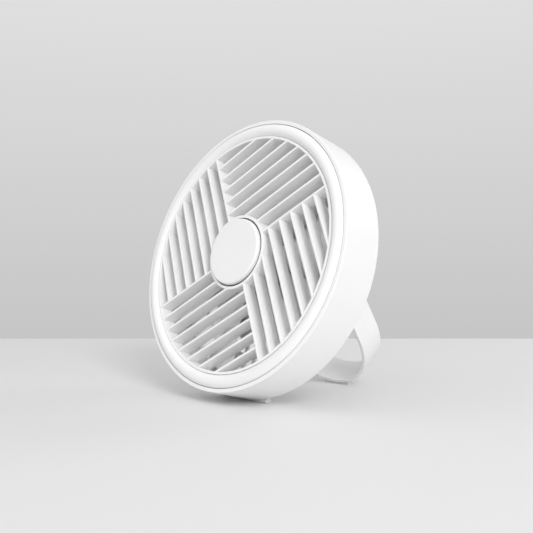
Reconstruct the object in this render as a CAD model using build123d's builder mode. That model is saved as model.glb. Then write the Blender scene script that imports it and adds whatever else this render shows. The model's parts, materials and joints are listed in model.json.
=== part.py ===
from build123d import *
from math import asin, cos, degrees, hypot, radians, sin, tan
import os

# A round rechargeable table fan that leans back on a folding strap stand.
# Sizes are in millimetres and angles in degrees. The fan's own frame has x to the right, y up the
# front face and z forwards along the fan's axis, with its origin at the middle of the front seams.
# Depths are measured backwards from the plane of those seams.

# Overall sizes
housing_diameter = 180.0
barrel_depth = 30.5
tilt_angle = 15.0
stand_lean = 34.0
foot_drop = 0.55

# Fits and cuts
seam_gap = 0.4
slip_gap = 0.2
press_gap = 0.03
running_gap = 0.05
face_gap = 0.1
overrun = 1.0

# Housing barrel
lip_width = 2.5
lip_fillet = 0.9
rear_fillet = 1.0
ledge_depth = 4.2
ledge_thickness = 2.0
shroud_wall = 1.5
shroud_gap = 0.35
shroud_setback = 0.4
cover_boss_radius = 2.6
cover_boss_inset = 7.4
cover_screw_count = 4
cover_screw_turn = 45.0

# Front ring
ring_width = 8.05
ring_crown = 2.0
ring_edge_drop = 0.25
flange_clearance = 0.4

# Front grille
louvre_depth = 10.5
louvre_thickness = 1.5
louvre_pitch = 9.69
louvre_angle = 30.0
louvre_count = 8
quadrant_count = 4
grille_rim_wall = 1.7
grille_flange_width = 3.8
grille_flange_thickness = 1.5
collar_radius = 24.7
collar_wall = 2.0
collar_floor = 2.0
collar_fillet = 0.5

# Hub cap
cap_radius = 21.8
cap_proud = 2.8
cap_gap = 0.5
cap_seat_depth = 2.5
cap_fillet = 1.1
cap_boss_radius = 5.0

# Fan rotor
rotor_hub_radius = 22.0
rotor_hub_wall = 1.8
rotor_front_gap = 1.8
rotor_rear_gap = 0.8
rotor_hub_fillet = 1.5
rotor_boss_radius = 3.0
rotor_tip_gap = 3.6
blade_count = 7
blade_root_chord = 17.0
blade_mid_chord = 28.0
blade_tip_chord = 42.0
blade_root_pitch = 42.0
blade_mid_pitch = 26.0
blade_tip_pitch = 16.0
blade_camber_share = 0.07
blade_thickness = 1.7
blade_edge_thickness = 0.9
blade_root_sink = 1.0

# Motor
shaft_radius = 1.5
shaft_tail = 1.2
shaft_cap = 0.9
can_wall = 1.2
can_rear_inset = 0.6
magnet_thickness = 2.4
magnet_rear_inset = 0.9
air_gap = 0.5
stator_front_gap = 1.7
stator_rear_gap = 1.6
stator_tooth_count = 9
stator_tooth_width = 2.6
stator_shoe_thickness = 1.3
stator_slot_width = 1.6
stator_yoke_radius = 8.2
coil_thickness = 1.1
coil_end_gap = 0.2
bearing_radius = 4.0
bearing_shoulder_radius = 3.2
bearing_shoulder_length = 2.4
bearing_front_recess = 0.2
bearing_rear_recess = 0.5
tube_wall = 1.4
tube_front_gap = 0.6
motor_flange_radius = 17.0
motor_flange_thickness = 1.5
motor_screw_circle = 12.5
motor_screw_count = 3
motor_screw_turn = 30.0
clip_radius = 3.0
clip_thickness = 0.4
clip_gap = 0.2

# Rear cover
cover_thickness = 2.0
cover_platform = 2.0
cover_skirt = 4.0
cover_skirt_wall = 1.5
cover_bore_radius = 5.0
intake_pod_gap = 2.4
intake_rim = 2.5
intake_band_share = 0.43
intake_band_width = 2.4
intake_count = 48
intake_rib = 2.2

# Rear pod
pod_height = 84.0
pod_corner = 18.0
pod_depth = 25.5
pod_wall = 2.2
pod_fillet = 3.0
pod_screw_across = 36.0
pod_screw_up = 73.6
pod_post_radius = 2.8
pod_post_height = 2.0
pod_well_radius = 3.4
pod_well_bore = 2.6
pod_well_floor = 2.0

# Screws
screw_radius = 1.0
screw_head_radius = 2.2
screw_head_height = 1.4
screw_hole_gap = 0.3
cover_screw_length = 9.0
pod_screw_length = 6.0
motor_screw_length = 4.6
motor_screw_head_height = 0.9
board_screw_length = 5.0

# Stand and its pivots
pivot_rise = 15.0
pivot_inset = 12.0
stand_gap = 0.5
stand_thickness = 2.5
stand_width = 21.4
stand_fillet = 0.7
pin_radius = 2.5
pin_head_radius = 6.5
pin_head_height = 1.8
pin_head_fillet = 0.8
pivot_boss_radius = 5.0
pivot_boss_length = 3.3
pin_end_gap = 0.3
washer_radius = 8.0

# Feet
stand_pad_length = 22.6
stand_pad_width = 5.0
stand_pad_lead = 0.4
stand_pad_drop = 0.9
body_foot_length = 43.0
body_foot_width = 4.6
body_foot_back_height = 3.4
body_foot_front_height = 7.4
foot_fillet = 1.1
foot_peg_radius = 1.0
foot_peg_length = 1.4
foot_peg_across = 28.0
foot_peg_inset = 5.4

# Battery
cell_radius = 9.2
cell_length = 65.0
cell_spacing = 19.0
cell_fillet = 0.8
cell_button_radius = 3.0
cell_button_height = 0.8
upper_cell_rise = 23.5
cradle_floor = 1.2
cradle_height = 8.0
cradle_margin = 0.4
cell_gap = 0.1
cell_end_gap = 0.5
pad_width = 54.0
pad_height = 30.0

# Control board and what stands on it
board_half_width = 28.0
board_top = -9.0
board_bottom = -31.5
board_tongue_half_width = 11.0
board_tongue_bottom = -38.0
board_thickness = 1.6
board_post_radius = 2.5
board_post_across = 48.0
board_post_top = -12.0
board_post_bottom = -28.5
switch_side = 6.0
switch_height = 3.5
switch_plunger_radius = 1.75
switch_plunger_height = 0.9
switch_gap = 1.0
socket_width = 8.94
socket_height = 3.26
socket_length = 7.35
socket_wall = 0.4
socket_tongue_thickness = 0.7
socket_recess = 0.6
socket_slot_gap = 0.33

# Power button and charge lights
button_rise = -20.0
button_radius = 6.5
button_proud = 0.5
button_gap = 0.3
button_flange = 1.3
button_flange_thickness = 0.85
button_fillet = 0.4
light_count = 4
light_radius = 1.0
light_pitch = 4.5
light_rise = -9.5
light_gap = 0.12
light_strip_margin = 1.6
light_strip_thickness = 1.0

# Sizes that follow from those above
housing_radius = housing_diameter / 2
barrel_inner_radius = housing_radius - lip_width
ring_outer_radius = barrel_inner_radius - seam_gap
ring_inner_radius = ring_outer_radius - ring_width
grille_radius = ring_inner_radius - seam_gap
grille_flange_radius = grille_radius + grille_flange_width
grille_flange_front = ledge_depth - grille_flange_thickness
shroud_inner_radius = grille_radius + shroud_gap
shroud_outer_radius = shroud_inner_radius + shroud_wall
rotor_tip_radius = shroud_inner_radius - rotor_tip_gap
blade_root_radius = rotor_hub_radius - blade_root_sink
blade_end_radius = rotor_tip_radius + overrun
blade_mid_radius = (blade_root_radius + blade_end_radius) / 2
cover_front_depth = barrel_depth - cover_thickness
rotor_front_depth = louvre_depth + rotor_front_gap
rotor_rear_depth = cover_front_depth - rotor_rear_gap
blade_mid_depth = (rotor_front_depth + rotor_rear_depth) / 2
cover_radius = barrel_inner_radius - slip_gap
cover_screw_radius = housing_radius - cover_boss_inset
platform_depth = barrel_depth + cover_platform
pod_post_depth = platform_depth + pod_post_height
pod_width = cell_length + 2 * (cell_end_gap + pivot_boss_length + pod_wall)
pod_half_width = pod_width / 2
pod_corner_x = pod_half_width - pod_corner
pod_corner_y = pod_height / 2 - pod_corner
pod_reach = hypot(pod_corner_x, pod_corner_y) + pod_corner
intake_inner_radius = pod_reach + intake_pod_gap
intake_outer_radius = shroud_inner_radius - intake_rim
intake_length = intake_outer_radius - intake_inner_radius
intake_band_radius = intake_inner_radius + intake_band_share * intake_length
pod_back_depth = barrel_depth + pod_depth
pod_inner_depth = pod_back_depth - pod_wall
can_front_depth = rotor_front_depth + rotor_hub_wall
can_radius = rotor_hub_radius - rotor_hub_wall - press_gap
magnet_radius = can_radius - can_wall - press_gap
magnet_front_depth = can_front_depth + can_wall
can_length = rotor_rear_depth - can_rear_inset - can_front_depth
magnet_length = can_length - can_wall - magnet_rear_inset
stator_radius = magnet_radius - magnet_thickness - air_gap
tube_inner_radius = bearing_radius + press_gap
tube_radius = tube_inner_radius + tube_wall
tube_front_depth = magnet_front_depth + tube_front_gap
motor_flange_front = cover_front_depth - motor_flange_thickness
stator_front_depth = magnet_front_depth + stator_front_gap
stator_rear_depth = motor_flange_front - motor_screw_head_height - stator_rear_gap
stator_length = stator_rear_depth - stator_front_depth
bearing_front_depth = tube_front_depth + bearing_front_recess
bearing_end_depth = cover_front_depth - bearing_rear_recess
bearing_length = (bearing_end_depth - bearing_front_depth - bearing_shoulder_length) / 2
bearing_rear_depth = bearing_end_depth - bearing_length
shaft_end_depth = cover_front_depth + shaft_tail
cell_depth = platform_depth + cradle_floor + cell_gap + cell_radius
lower_cell_rise = upper_cell_rise - cell_spacing
stand_inner_half = pod_half_width + stand_gap
stand_half_width = stand_inner_half + stand_thickness
pivot_depth = barrel_depth + pivot_inset
flange_front = pod_inner_depth - running_gap - button_flange_thickness
switch_top = flange_front - switch_gap - switch_plunger_height
board_rear_depth = switch_top - switch_height
board_front_depth = board_rear_depth - board_thickness

# Where the fan sits over the table. The rear edge of the barrel clears the table by foot_drop, and
# the origin is under the middle of the box round the whole part.
tilt = radians(tilt_angle)
lean = radians(stand_lean)
axis_height = housing_radius * cos(tilt) + barrel_depth * sin(tilt) + foot_drop
pivot_height = axis_height + pivot_rise * cos(tilt) - pivot_depth * sin(tilt)
pivot_setback = pivot_rise * sin(tilt) + pivot_depth * cos(tilt)
stand_drop = pivot_height - stand_pad_drop - stand_width / 2 * sin(lean)
stand_length = stand_drop / cos(lean)
stand_straight = stand_length - stand_half_width
crown_mid_radius = (ring_outer_radius + ring_inner_radius) / 2
crown_rise = ring_crown + ring_edge_drop
crown_radius = (crown_rise + (ring_width / 2) ** 2 / crown_rise) / 2
front_reach = crown_mid_radius * sin(tilt) + (ring_crown - crown_radius) * cos(tilt) + crown_radius
strap_corner_round = stand_fillet * (sin(lean) + cos(lean) - 1)
strap_corner = stand_length * sin(lean) + stand_width / 2 * cos(lean) - strap_corner_round
rear_reach = pivot_setback + strap_corner
axis_offset = (front_reach - rear_reach) / 2

front_plane = Plane(
    origin=(0, axis_offset, axis_height), x_dir=(1, 0, 0), z_dir=(0, -cos(tilt), sin(tilt))
)
profile_plane = Plane(origin=front_plane.origin, x_dir=(1, 0, 0), z_dir=-front_plane.y_dir)
fan_axis = Axis(origin=front_plane.origin, direction=front_plane.z_dir)
pivot_point = front_plane.from_local_coords((0, pivot_rise, -pivot_depth))
stand_plane = Plane(origin=pivot_point, x_dir=(1, 0, 0), z_dir=(0, -cos(lean), -sin(lean)))
stand_side_plane = Plane(origin=pivot_point, x_dir=stand_plane.y_dir, z_dir=(1, 0, 0))
pivot_plane = Plane(origin=pivot_point, x_dir=front_plane.y_dir, z_dir=(1, 0, 0))


def at_depth(depth):
    """The plane across the fan's axis at a depth behind the front seams, facing forwards."""
    return front_plane.offset(-depth)


def turned(plane, angle):
    """The same plane turned about its own normal."""
    normal = Axis(origin=plane.origin, direction=plane.z_dir)
    return Plane(origin=plane.origin, x_dir=plane.x_dir.rotate(normal, angle), z_dir=plane.z_dir)


def turn_profile(points, mode=Mode.ADD):
    """Turn a closed outline of (radius, depth) points about the fan's axis."""
    with BuildSketch(profile_plane) as outline:
        with BuildLine():
            Polyline([(radius, -depth) for radius, depth in points], close=True)
        make_face()
    revolve(outline.sketch, axis=fan_axis, mode=mode)


def ring(outer, inner, front, rear, mode=Mode.ADD):
    """A plain ring about the fan's axis between two depths."""
    with BuildSketch(at_depth(rear)) as section:
        Circle(outer)
        Circle(inner, mode=Mode.SUBTRACT)
    extrude(section.sketch, amount=rear - front, mode=mode)


def disc(places, radius, front, rear, mode=Mode.ADD):
    """Round posts or holes at places across the fan's axis between two depths."""
    with BuildSketch(at_depth(rear)) as section:
        with Locations(*places):
            Circle(radius)
    extrude(section.sketch, amount=rear - front, mode=mode)


def screws(places, head_depth, length, head_height):
    """Screws driven forwards: a head behind head_depth and a shank that runs forwards from it."""
    disc(places, screw_head_radius, head_depth, head_depth + head_height)
    disc(places, screw_radius, head_depth - length, head_depth)


def corner_places(across, up):
    """The four corners of a rectangle about the fan's axis."""
    half_x = across / 2
    half_y = up / 2
    return [(half_x, half_y), (-half_x, half_y), (-half_x, -half_y), (half_x, -half_y)]


def circle_places(radius, count, first_angle=0.0):
    """Places evenly round the fan's axis."""
    angles = [radians(first_angle + 360 / count * step) for step in range(count)]
    return [(radius * cos(angle), radius * sin(angle)) for angle in angles]


cover_screw_places = circle_places(cover_screw_radius, cover_screw_count, cover_screw_turn)
pod_screw_places = corner_places(pod_screw_across, pod_screw_up)
motor_screw_places = circle_places(motor_screw_circle, motor_screw_count, motor_screw_turn)
board_post_places = [
    (side * board_post_across / 2, rise) for side in (1, -1) for rise in (board_post_top, board_post_bottom)
]
light_places = [
    ((step - (light_count - 1) / 2) * light_pitch, light_rise) for step in range(light_count)
]
foot_peg_places = [
    (side * foot_peg_across / 2, foot_peg_inset - housing_radius) for side in (1, -1)
]

# Housing barrel: the outer wall, the ledge that seats the ring and grille, and the air duct inside
with BuildPart() as housing_barrel:
    turn_profile(
        [
            (housing_radius, 0),
            (housing_radius, barrel_depth),
            (barrel_inner_radius, barrel_depth),
            (barrel_inner_radius, ledge_depth + ledge_thickness),
            (shroud_outer_radius, ledge_depth + ledge_thickness),
            (shroud_outer_radius, cover_front_depth - shroud_setback),
            (shroud_inner_radius, cover_front_depth - shroud_setback),
            (shroud_inner_radius, ledge_depth),
            (barrel_inner_radius, ledge_depth),
            (barrel_inner_radius, 0),
        ]
    )
    outer_edges = housing_barrel.edges().filter_by(GeomType.CIRCLE).group_by(SortBy.RADIUS)[-1]
    fillet(outer_edges.sort_by(fan_axis)[-1], lip_fillet)
    fillet(outer_edges.sort_by(fan_axis)[0], rear_fillet)
    disc(cover_screw_places, cover_boss_radius, ledge_depth + ledge_thickness / 2, cover_front_depth)
    disc(
        cover_screw_places,
        screw_radius + press_gap,
        cover_front_depth - cover_screw_length,
        cover_front_depth,
        Mode.SUBTRACT,
    )

# Front ring: the crowned trim ring between the two seams, with a skirt that clamps the grille's flange
with BuildPart() as front_ring:
    with BuildSketch(profile_plane):
        with BuildLine():
            crown = ThreePointArc(
                (ring_inner_radius, -ring_edge_drop),
                (crown_mid_radius, ring_crown),
                (ring_outer_radius, -ring_edge_drop),
            )
            Polyline(
                crown @ 1,
                (ring_outer_radius, -ledge_depth),
                (grille_flange_radius + flange_clearance, -ledge_depth),
                (grille_flange_radius + flange_clearance, -grille_flange_front),
                (ring_inner_radius, -grille_flange_front),
                crown @ 0,
            )
        make_face()
    revolve(axis=fan_axis)

# Front grille: four fields of upright louvres set round a collar like a pinwheel, in one rim
with BuildPart() as front_grille:
    turn_profile(
        [
            (collar_radius, 0),
            (collar_radius, louvre_depth),
            (collar_radius - collar_wall, louvre_depth),
            (collar_radius - collar_wall, cap_seat_depth + collar_floor),
            (cap_boss_radius + press_gap, cap_seat_depth + collar_floor),
            (cap_boss_radius + press_gap, cap_seat_depth),
            (cap_radius + cap_gap, cap_seat_depth),
            (cap_radius + cap_gap, 0),
        ]
    )
    front_edges = front_grille.edges().filter_by(GeomType.CIRCLE).group_by(fan_axis)[-1]
    fillet(front_edges.sort_by(SortBy.RADIUS)[0], collar_fillet)
    with BuildSketch(at_depth(louvre_depth)):
        for quadrant in range(quadrant_count):
            turn = louvre_angle + 360 / quadrant_count * quadrant
            with Locations(Location((0, 0, 0), (0, 0, turn))):
                with Locations(*[(-louvre_thickness / 2, louvre_pitch * row) for row in range(louvre_count)]):
                    Rectangle(housing_radius, louvre_thickness, align=(Align.MIN, Align.MIN))
        Circle(grille_radius - grille_rim_wall / 2, mode=Mode.INTERSECT)
        Circle(collar_radius - collar_wall / 2, mode=Mode.SUBTRACT)
    extrude(amount=louvre_depth)
    ring(grille_radius, grille_radius - grille_rim_wall, 0, louvre_depth)
    ring(grille_flange_radius, grille_radius - grille_rim_wall / 2, grille_flange_front, ledge_depth)

# Hub cap: the smooth disc in the collar, plugged into its floor
with BuildPart() as hub_cap:
    disc([(0, 0)], cap_radius, -cap_proud, cap_seat_depth)
    fillet(hub_cap.edges().sort_by(fan_axis)[-1], cap_fillet)
    disc([(0, 0)], cap_boss_radius, cap_seat_depth, cap_seat_depth + collar_floor)


def blade_section(plane, radius, chord, pitch):
    """A thin cambered section square to the radius, turned by its pitch from the fan's plane."""
    section_plane = Plane(
        origin=plane.from_local_coords((radius, 0, -blade_mid_depth)), x_dir=plane.y_dir, z_dir=plane.x_dir
    )
    with BuildSketch(turned(section_plane, pitch)) as section:
        with BuildLine():
            edge = blade_edge_thickness / 2
            rise = chord * blade_camber_share
            front_face = ThreePointArc(
                (-chord / 2, edge), (0, rise + blade_thickness / 2), (chord / 2, edge)
            )
            rear_face = ThreePointArc(
                (-chord / 2, -edge), (0, rise - blade_thickness / 2), (chord / 2, -edge)
            )
            Line(front_face @ 0, rear_face @ 0)
            Line(front_face @ 1, rear_face @ 1)
        make_face()
    return section.sketch


# Fan rotor: a cup-shaped hub with twisted blades
with BuildPart() as fan_rotor:
    disc([(0, 0)], rotor_hub_radius, rotor_front_depth, rotor_rear_depth)
    fillet(fan_rotor.edges().filter_by(GeomType.CIRCLE).sort_by(fan_axis)[-1], rotor_hub_fillet)
    for step in range(blade_count):
        blade_plane = turned(front_plane, 360 / blade_count * step)
        loft(
            [
                blade_section(blade_plane, blade_root_radius, blade_root_chord, blade_root_pitch),
                blade_section(blade_plane, blade_mid_radius, blade_mid_chord, blade_mid_pitch),
                blade_section(blade_plane, blade_end_radius, blade_tip_chord, blade_tip_pitch),
            ]
        )
    disc([(0, 0)], rotor_tip_radius, rotor_front_depth, rotor_rear_depth, Mode.INTERSECT)
    disc([(0, 0)], rotor_hub_radius - rotor_hub_wall, can_front_depth, rotor_rear_depth, Mode.SUBTRACT)
    disc([(0, 0)], rotor_boss_radius, can_front_depth, can_front_depth + can_wall)
    disc(
        [(0, 0)],
        shaft_radius + press_gap,
        rotor_front_depth + shaft_cap,
        can_front_depth + can_wall,
        Mode.SUBTRACT,
    )

# Motor: the steel can, magnets and shaft turn with the rotor
with BuildPart() as motor_can:
    turn_profile(
        [
            (rotor_boss_radius + press_gap, can_front_depth),
            (can_radius, can_front_depth),
            (can_radius, can_front_depth + can_length),
            (can_radius - can_wall, can_front_depth + can_length),
            (can_radius - can_wall, magnet_front_depth),
            (rotor_boss_radius + press_gap, magnet_front_depth),
        ]
    )

with BuildPart() as magnet_ring:
    ring(
        magnet_radius,
        magnet_radius - magnet_thickness,
        magnet_front_depth,
        magnet_front_depth + magnet_length,
    )

with BuildPart() as motor_shaft:
    disc([(0, 0)], shaft_radius, rotor_front_depth + shaft_cap, shaft_end_depth)

clip_front_depth = bearing_rear_depth + bearing_length + clip_gap
with BuildPart() as shaft_clip:
    ring(clip_radius, shaft_radius + press_gap, clip_front_depth, clip_front_depth + clip_thickness)

# Motor: the toothed core, its coils, the bearing tube and the bearings stay with the housing
with BuildPart() as stator_core:
    with BuildSketch(at_depth(stator_front_depth + stator_length)):
        Circle(stator_radius)
        Circle(stator_radius - stator_shoe_thickness, mode=Mode.SUBTRACT)
        with PolarLocations(0, stator_tooth_count, start_angle=180 / stator_tooth_count):
            Rectangle(
                stator_radius + overrun,
                stator_slot_width,
                align=(Align.MIN, Align.CENTER),
                mode=Mode.SUBTRACT,
            )
        with PolarLocations(0, stator_tooth_count):
            Rectangle(
                stator_radius - stator_shoe_thickness / 2,
                stator_tooth_width,
                align=(Align.MIN, Align.CENTER),
            )
        Circle(stator_yoke_radius)
        Circle(tube_radius + press_gap, mode=Mode.SUBTRACT)
    extrude(amount=stator_length)

coil_length = stator_radius - stator_shoe_thickness - stator_yoke_radius - 2 * coil_end_gap
coil_mid_radius = stator_yoke_radius + coil_end_gap + coil_length / 2
with BuildPart() as stator_coils:
    for step in range(stator_tooth_count):
        tooth_plane = turned(front_plane, 360 / stator_tooth_count * step)
        coil_plane = Plane(
            origin=tooth_plane.from_local_coords(
                (coil_mid_radius, 0, -stator_front_depth - stator_length / 2)
            ),
            x_dir=tooth_plane.y_dir,
            z_dir=tooth_plane.x_dir,
        )
        with BuildSketch(coil_plane):
            inner_width = stator_tooth_width + 2 * press_gap
            inner_height = stator_length + 2 * press_gap
            Rectangle(inner_width + 2 * coil_thickness, inner_height + 2 * coil_thickness)
            Rectangle(inner_width, inner_height, mode=Mode.SUBTRACT)
        extrude(amount=coil_length / 2, both=True)

with BuildPart() as motor_base:
    turn_profile(
        [
            (tube_radius, tube_front_depth),
            (tube_radius, motor_flange_front),
            (motor_flange_radius, motor_flange_front),
            (motor_flange_radius, cover_front_depth),
            (tube_inner_radius, cover_front_depth),
            (tube_inner_radius, bearing_rear_depth),
            (bearing_shoulder_radius, bearing_rear_depth),
            (bearing_shoulder_radius, bearing_front_depth + bearing_length),
            (tube_inner_radius, bearing_front_depth + bearing_length),
            (tube_inner_radius, tube_front_depth),
        ]
    )
    disc(
        motor_screw_places, screw_radius + press_gap, motor_flange_front, cover_front_depth, Mode.SUBTRACT
    )

with BuildPart() as bearing_front:
    ring(
        bearing_radius,
        shaft_radius + running_gap,
        bearing_front_depth,
        bearing_front_depth + bearing_length,
    )

with BuildPart() as bearing_rear:
    ring(
        bearing_radius,
        shaft_radius + running_gap,
        bearing_rear_depth,
        bearing_rear_depth + bearing_length,
    )

with BuildPart() as motor_screws:
    disc(
        motor_screw_places,
        screw_head_radius,
        motor_flange_front - motor_screw_head_height,
        motor_flange_front,
    )
    disc(motor_screw_places, screw_radius, motor_flange_front, motor_flange_front + motor_screw_length)


def intake_row(inner, outer):
    """One row of intake slots, cut so that straight ribs of one width are left between them."""
    half_pitch = 180 / intake_count
    inner_angle = half_pitch - degrees(asin(intake_rib / 2 / inner))
    outer_angle = half_pitch - degrees(asin(intake_rib / 2 / outer))
    corners = [(inner, -inner_angle), (outer, -outer_angle), (outer, outer_angle), (inner, inner_angle)]
    with BuildSketch(at_depth(platform_depth)) as slots:
        with PolarLocations(0, intake_count):
            Polygon(*[(r * cos(radians(a)), r * sin(radians(a))) for r, a in corners], align=None)
    extrude(slots.sketch, amount=platform_depth - cover_front_depth + overrun, mode=Mode.SUBTRACT)


# Rear cover: the intake grille that closes the barrel, with a platform that locates the pod
with BuildPart() as rear_cover:
    disc([(0, 0)], cover_radius, cover_front_depth, barrel_depth)
    ring(cover_radius, cover_radius - cover_skirt_wall, cover_front_depth - cover_skirt, cover_front_depth)
    intake_row(intake_inner_radius, intake_band_radius - intake_band_width / 2)
    intake_row(intake_band_radius + intake_band_width / 2, intake_outer_radius)
    with BuildSketch(at_depth(platform_depth)):
        inset = pod_wall + slip_gap
        RectangleRounded(pod_width - 2 * inset, pod_height - 2 * inset, pod_corner - inset)
    extrude(amount=cover_platform)
    disc(pod_screw_places, pod_post_radius, barrel_depth, pod_post_depth)
    disc([(0, 0)], cover_bore_radius, cover_front_depth, platform_depth, Mode.SUBTRACT)
    disc(
        pod_screw_places,
        screw_radius + press_gap,
        pod_post_depth + pod_well_floor - pod_screw_length,
        pod_post_depth,
        Mode.SUBTRACT,
    )
    disc(motor_screw_places, screw_radius + press_gap, cover_front_depth, platform_depth, Mode.SUBTRACT)
    disc(
        cover_screw_places,
        screw_radius + screw_hole_gap,
        cover_front_depth,
        barrel_depth,
        Mode.SUBTRACT,
    )
    disc(
        foot_peg_places,
        foot_peg_radius + press_gap,
        barrel_depth - foot_peg_length,
        barrel_depth,
        Mode.SUBTRACT,
    )

with BuildPart() as cover_screws:
    screws(cover_screw_places, barrel_depth, cover_screw_length, screw_head_height)

# Rear pod: the rounded box that holds the battery and the board and carries the stand's pivots
with BuildPart() as pod_shell:
    with BuildSketch(at_depth(pod_back_depth)):
        RectangleRounded(pod_width, pod_height, pod_corner)
    extrude(amount=pod_depth)
    fillet(pod_shell.faces().sort_by(fan_axis)[0].edges(), pod_fillet)
    with BuildSketch(at_depth(pod_inner_depth)):
        RectangleRounded(pod_width - 2 * pod_wall, pod_height - 2 * pod_wall, pod_corner - pod_wall)
    extrude(amount=pod_depth, mode=Mode.SUBTRACT)
    with BuildSketch(pivot_plane):
        Circle(pivot_boss_radius)
    extrude(amount=pod_half_width - pod_wall / 2, both=True)
    with BuildSketch(pivot_plane):
        Circle(pivot_boss_radius + overrun)
    extrude(amount=pod_half_width - pod_wall - pivot_boss_length, both=True, mode=Mode.SUBTRACT)
    with BuildSketch(pivot_plane):
        Circle(pin_radius + press_gap)
    extrude(amount=pod_half_width + overrun, both=True, mode=Mode.SUBTRACT)
    disc(pod_screw_places, pod_well_radius, pod_post_depth, pod_inner_depth)
    disc(
        pod_screw_places,
        pod_well_bore,
        pod_post_depth + pod_well_floor,
        pod_back_depth + overrun,
        Mode.SUBTRACT,
    )
    disc(
        pod_screw_places,
        screw_radius + screw_hole_gap,
        pod_post_depth - overrun,
        pod_inner_depth,
        Mode.SUBTRACT,
    )
    disc(board_post_places, board_post_radius, board_rear_depth, pod_inner_depth)
    disc(
        board_post_places,
        screw_radius + press_gap,
        board_rear_depth - overrun,
        board_front_depth + board_screw_length,
        Mode.SUBTRACT,
    )
    disc([(0, button_rise)], button_radius + button_gap, pod_inner_depth, pod_back_depth, Mode.SUBTRACT)
    disc(light_places, light_radius + light_gap, pod_inner_depth, pod_back_depth, Mode.SUBTRACT)
    socket_plane = Plane(
        origin=front_plane.from_local_coords(
            (0, -pod_height / 2, -board_rear_depth - socket_height / 2)
        ),
        x_dir=(1, 0, 0),
        z_dir=-front_plane.y_dir,
    )
    with BuildSketch(socket_plane):
        slot_height = socket_height + 2 * socket_slot_gap
        RectangleRounded(socket_width + 2 * socket_slot_gap, slot_height, slot_height / 2 - press_gap)
    extrude(amount=-pod_wall - overrun, mode=Mode.SUBTRACT)

with BuildPart() as pod_screws:
    screws(pod_screw_places, pod_post_depth + pod_well_floor, pod_screw_length, screw_head_height)

# Stand: a wide strap bent into a hoop, with rounded ends that turn on two pins
with BuildPart() as stand:
    with BuildSketch(stand_plane):
        for half_width, mode in ((stand_half_width, Mode.ADD), (stand_inner_half, Mode.SUBTRACT)):
            with Locations((0, -stand_straight)):
                Circle(half_width, mode=mode)
                Rectangle(
                    2 * half_width,
                    stand_straight + stand_width,
                    align=(Align.CENTER, Align.MIN),
                    mode=mode,
                )
    extrude(amount=stand_width / 2, both=True)
    with BuildSketch(stand_side_plane):
        Circle(stand_width / 2)
        Rectangle(2 * stand_length, stand_width, align=(Align.MAX, Align.CENTER))
    extrude(amount=housing_radius, both=True, mode=Mode.INTERSECT)
    strap_normal = Axis(origin=pivot_point, direction=stand_plane.z_dir)
    long_edges = stand.edges().filter_by(Axis.X, reverse=True).filter_by(strap_normal, reverse=True)
    fillet(long_edges, stand_fillet)
    with BuildSketch(stand_side_plane):
        Circle(pin_radius + running_gap)
    extrude(amount=housing_radius, both=True, mode=Mode.SUBTRACT)


def hinge_pin(side):
    """A shouldered pin through one end of the strap into the pod's side, with a low round head."""
    head_face = side * (stand_half_width + face_gap)
    with BuildSketch(pivot_plane.offset(head_face)) as head:
        Circle(pin_head_radius)
    extrude(head.sketch, amount=side * pin_head_height)
    head_edges = edges().group_by(Axis.X)[-1 if side > 0 else 0]
    fillet(head_edges, pin_head_fillet)
    with BuildSketch(pivot_plane.offset(head_face)) as shank:
        Circle(pin_radius)
    pin_end = pod_half_width - pod_wall - pivot_boss_length + pin_end_gap
    extrude(shank.sketch, amount=side * pin_end - head_face)


with BuildPart() as hinge_pin_right:
    hinge_pin(1)

with BuildPart() as hinge_pin_left:
    hinge_pin(-1)

with BuildPart() as friction_washers:
    washer_thickness = stand_inner_half - pod_half_width - running_gap
    for side in (1, -1):
        with BuildSketch(pivot_plane.offset(side * pod_half_width)):
            Circle(washer_radius)
            Circle(pin_radius + press_gap, mode=Mode.SUBTRACT)
        extrude(amount=side * washer_thickness)

# Feet: a rubber wedge under the strap's lowest edge, and a flat bar behind the barrel's rear edge
strap_toe = axis_offset + pivot_setback + stand_length * sin(lean) - stand_width / 2 * cos(lean)
pad_setback = strap_toe - stand_pad_lead + stand_pad_width / 2
pad_back_height = stand_pad_drop + stand_pad_width * tan(lean)
with BuildPart() as stand_pad:
    with BuildSketch(Plane.XY):
        with Locations((0, pad_setback)):
            Rectangle(stand_pad_length, stand_pad_width)
    extrude(amount=pad_back_height)
    fillet(stand_pad.edges().filter_by(Axis.Z), foot_fillet)
    with BuildSketch(stand_plane):
        with Locations((0, -stand_straight)):
            Circle(stand_half_width)
    extrude(amount=stand_width / 2, both=True, mode=Mode.SUBTRACT)

rear_face_rise = -(axis_height - barrel_depth * sin(tilt)) / cos(tilt)
with BuildPart() as body_foot:
    heel = front_plane.from_local_coords((0, rear_face_rise, -barrel_depth))
    top = front_plane.from_local_coords((0, rear_face_rise + body_foot_front_height, -barrel_depth))
    with BuildSketch(Plane.YZ):
        with BuildLine():
            Polyline(
                (heel.Y, heel.Z),
                (heel.Y + body_foot_width, heel.Z),
                (heel.Y + body_foot_width, heel.Z + body_foot_back_height),
                (top.Y, top.Z),
                close=True,
            )
        make_face()
    extrude(amount=body_foot_length / 2, both=True)
    fillet(body_foot.faces().sort_by(Axis.Y)[-1].edges(), foot_fillet)
    disc(foot_peg_places, foot_peg_radius, barrel_depth - foot_peg_length, barrel_depth)

# Battery: two cells lying across the pod in a moulded cradle, held down by a foam pad


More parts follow.
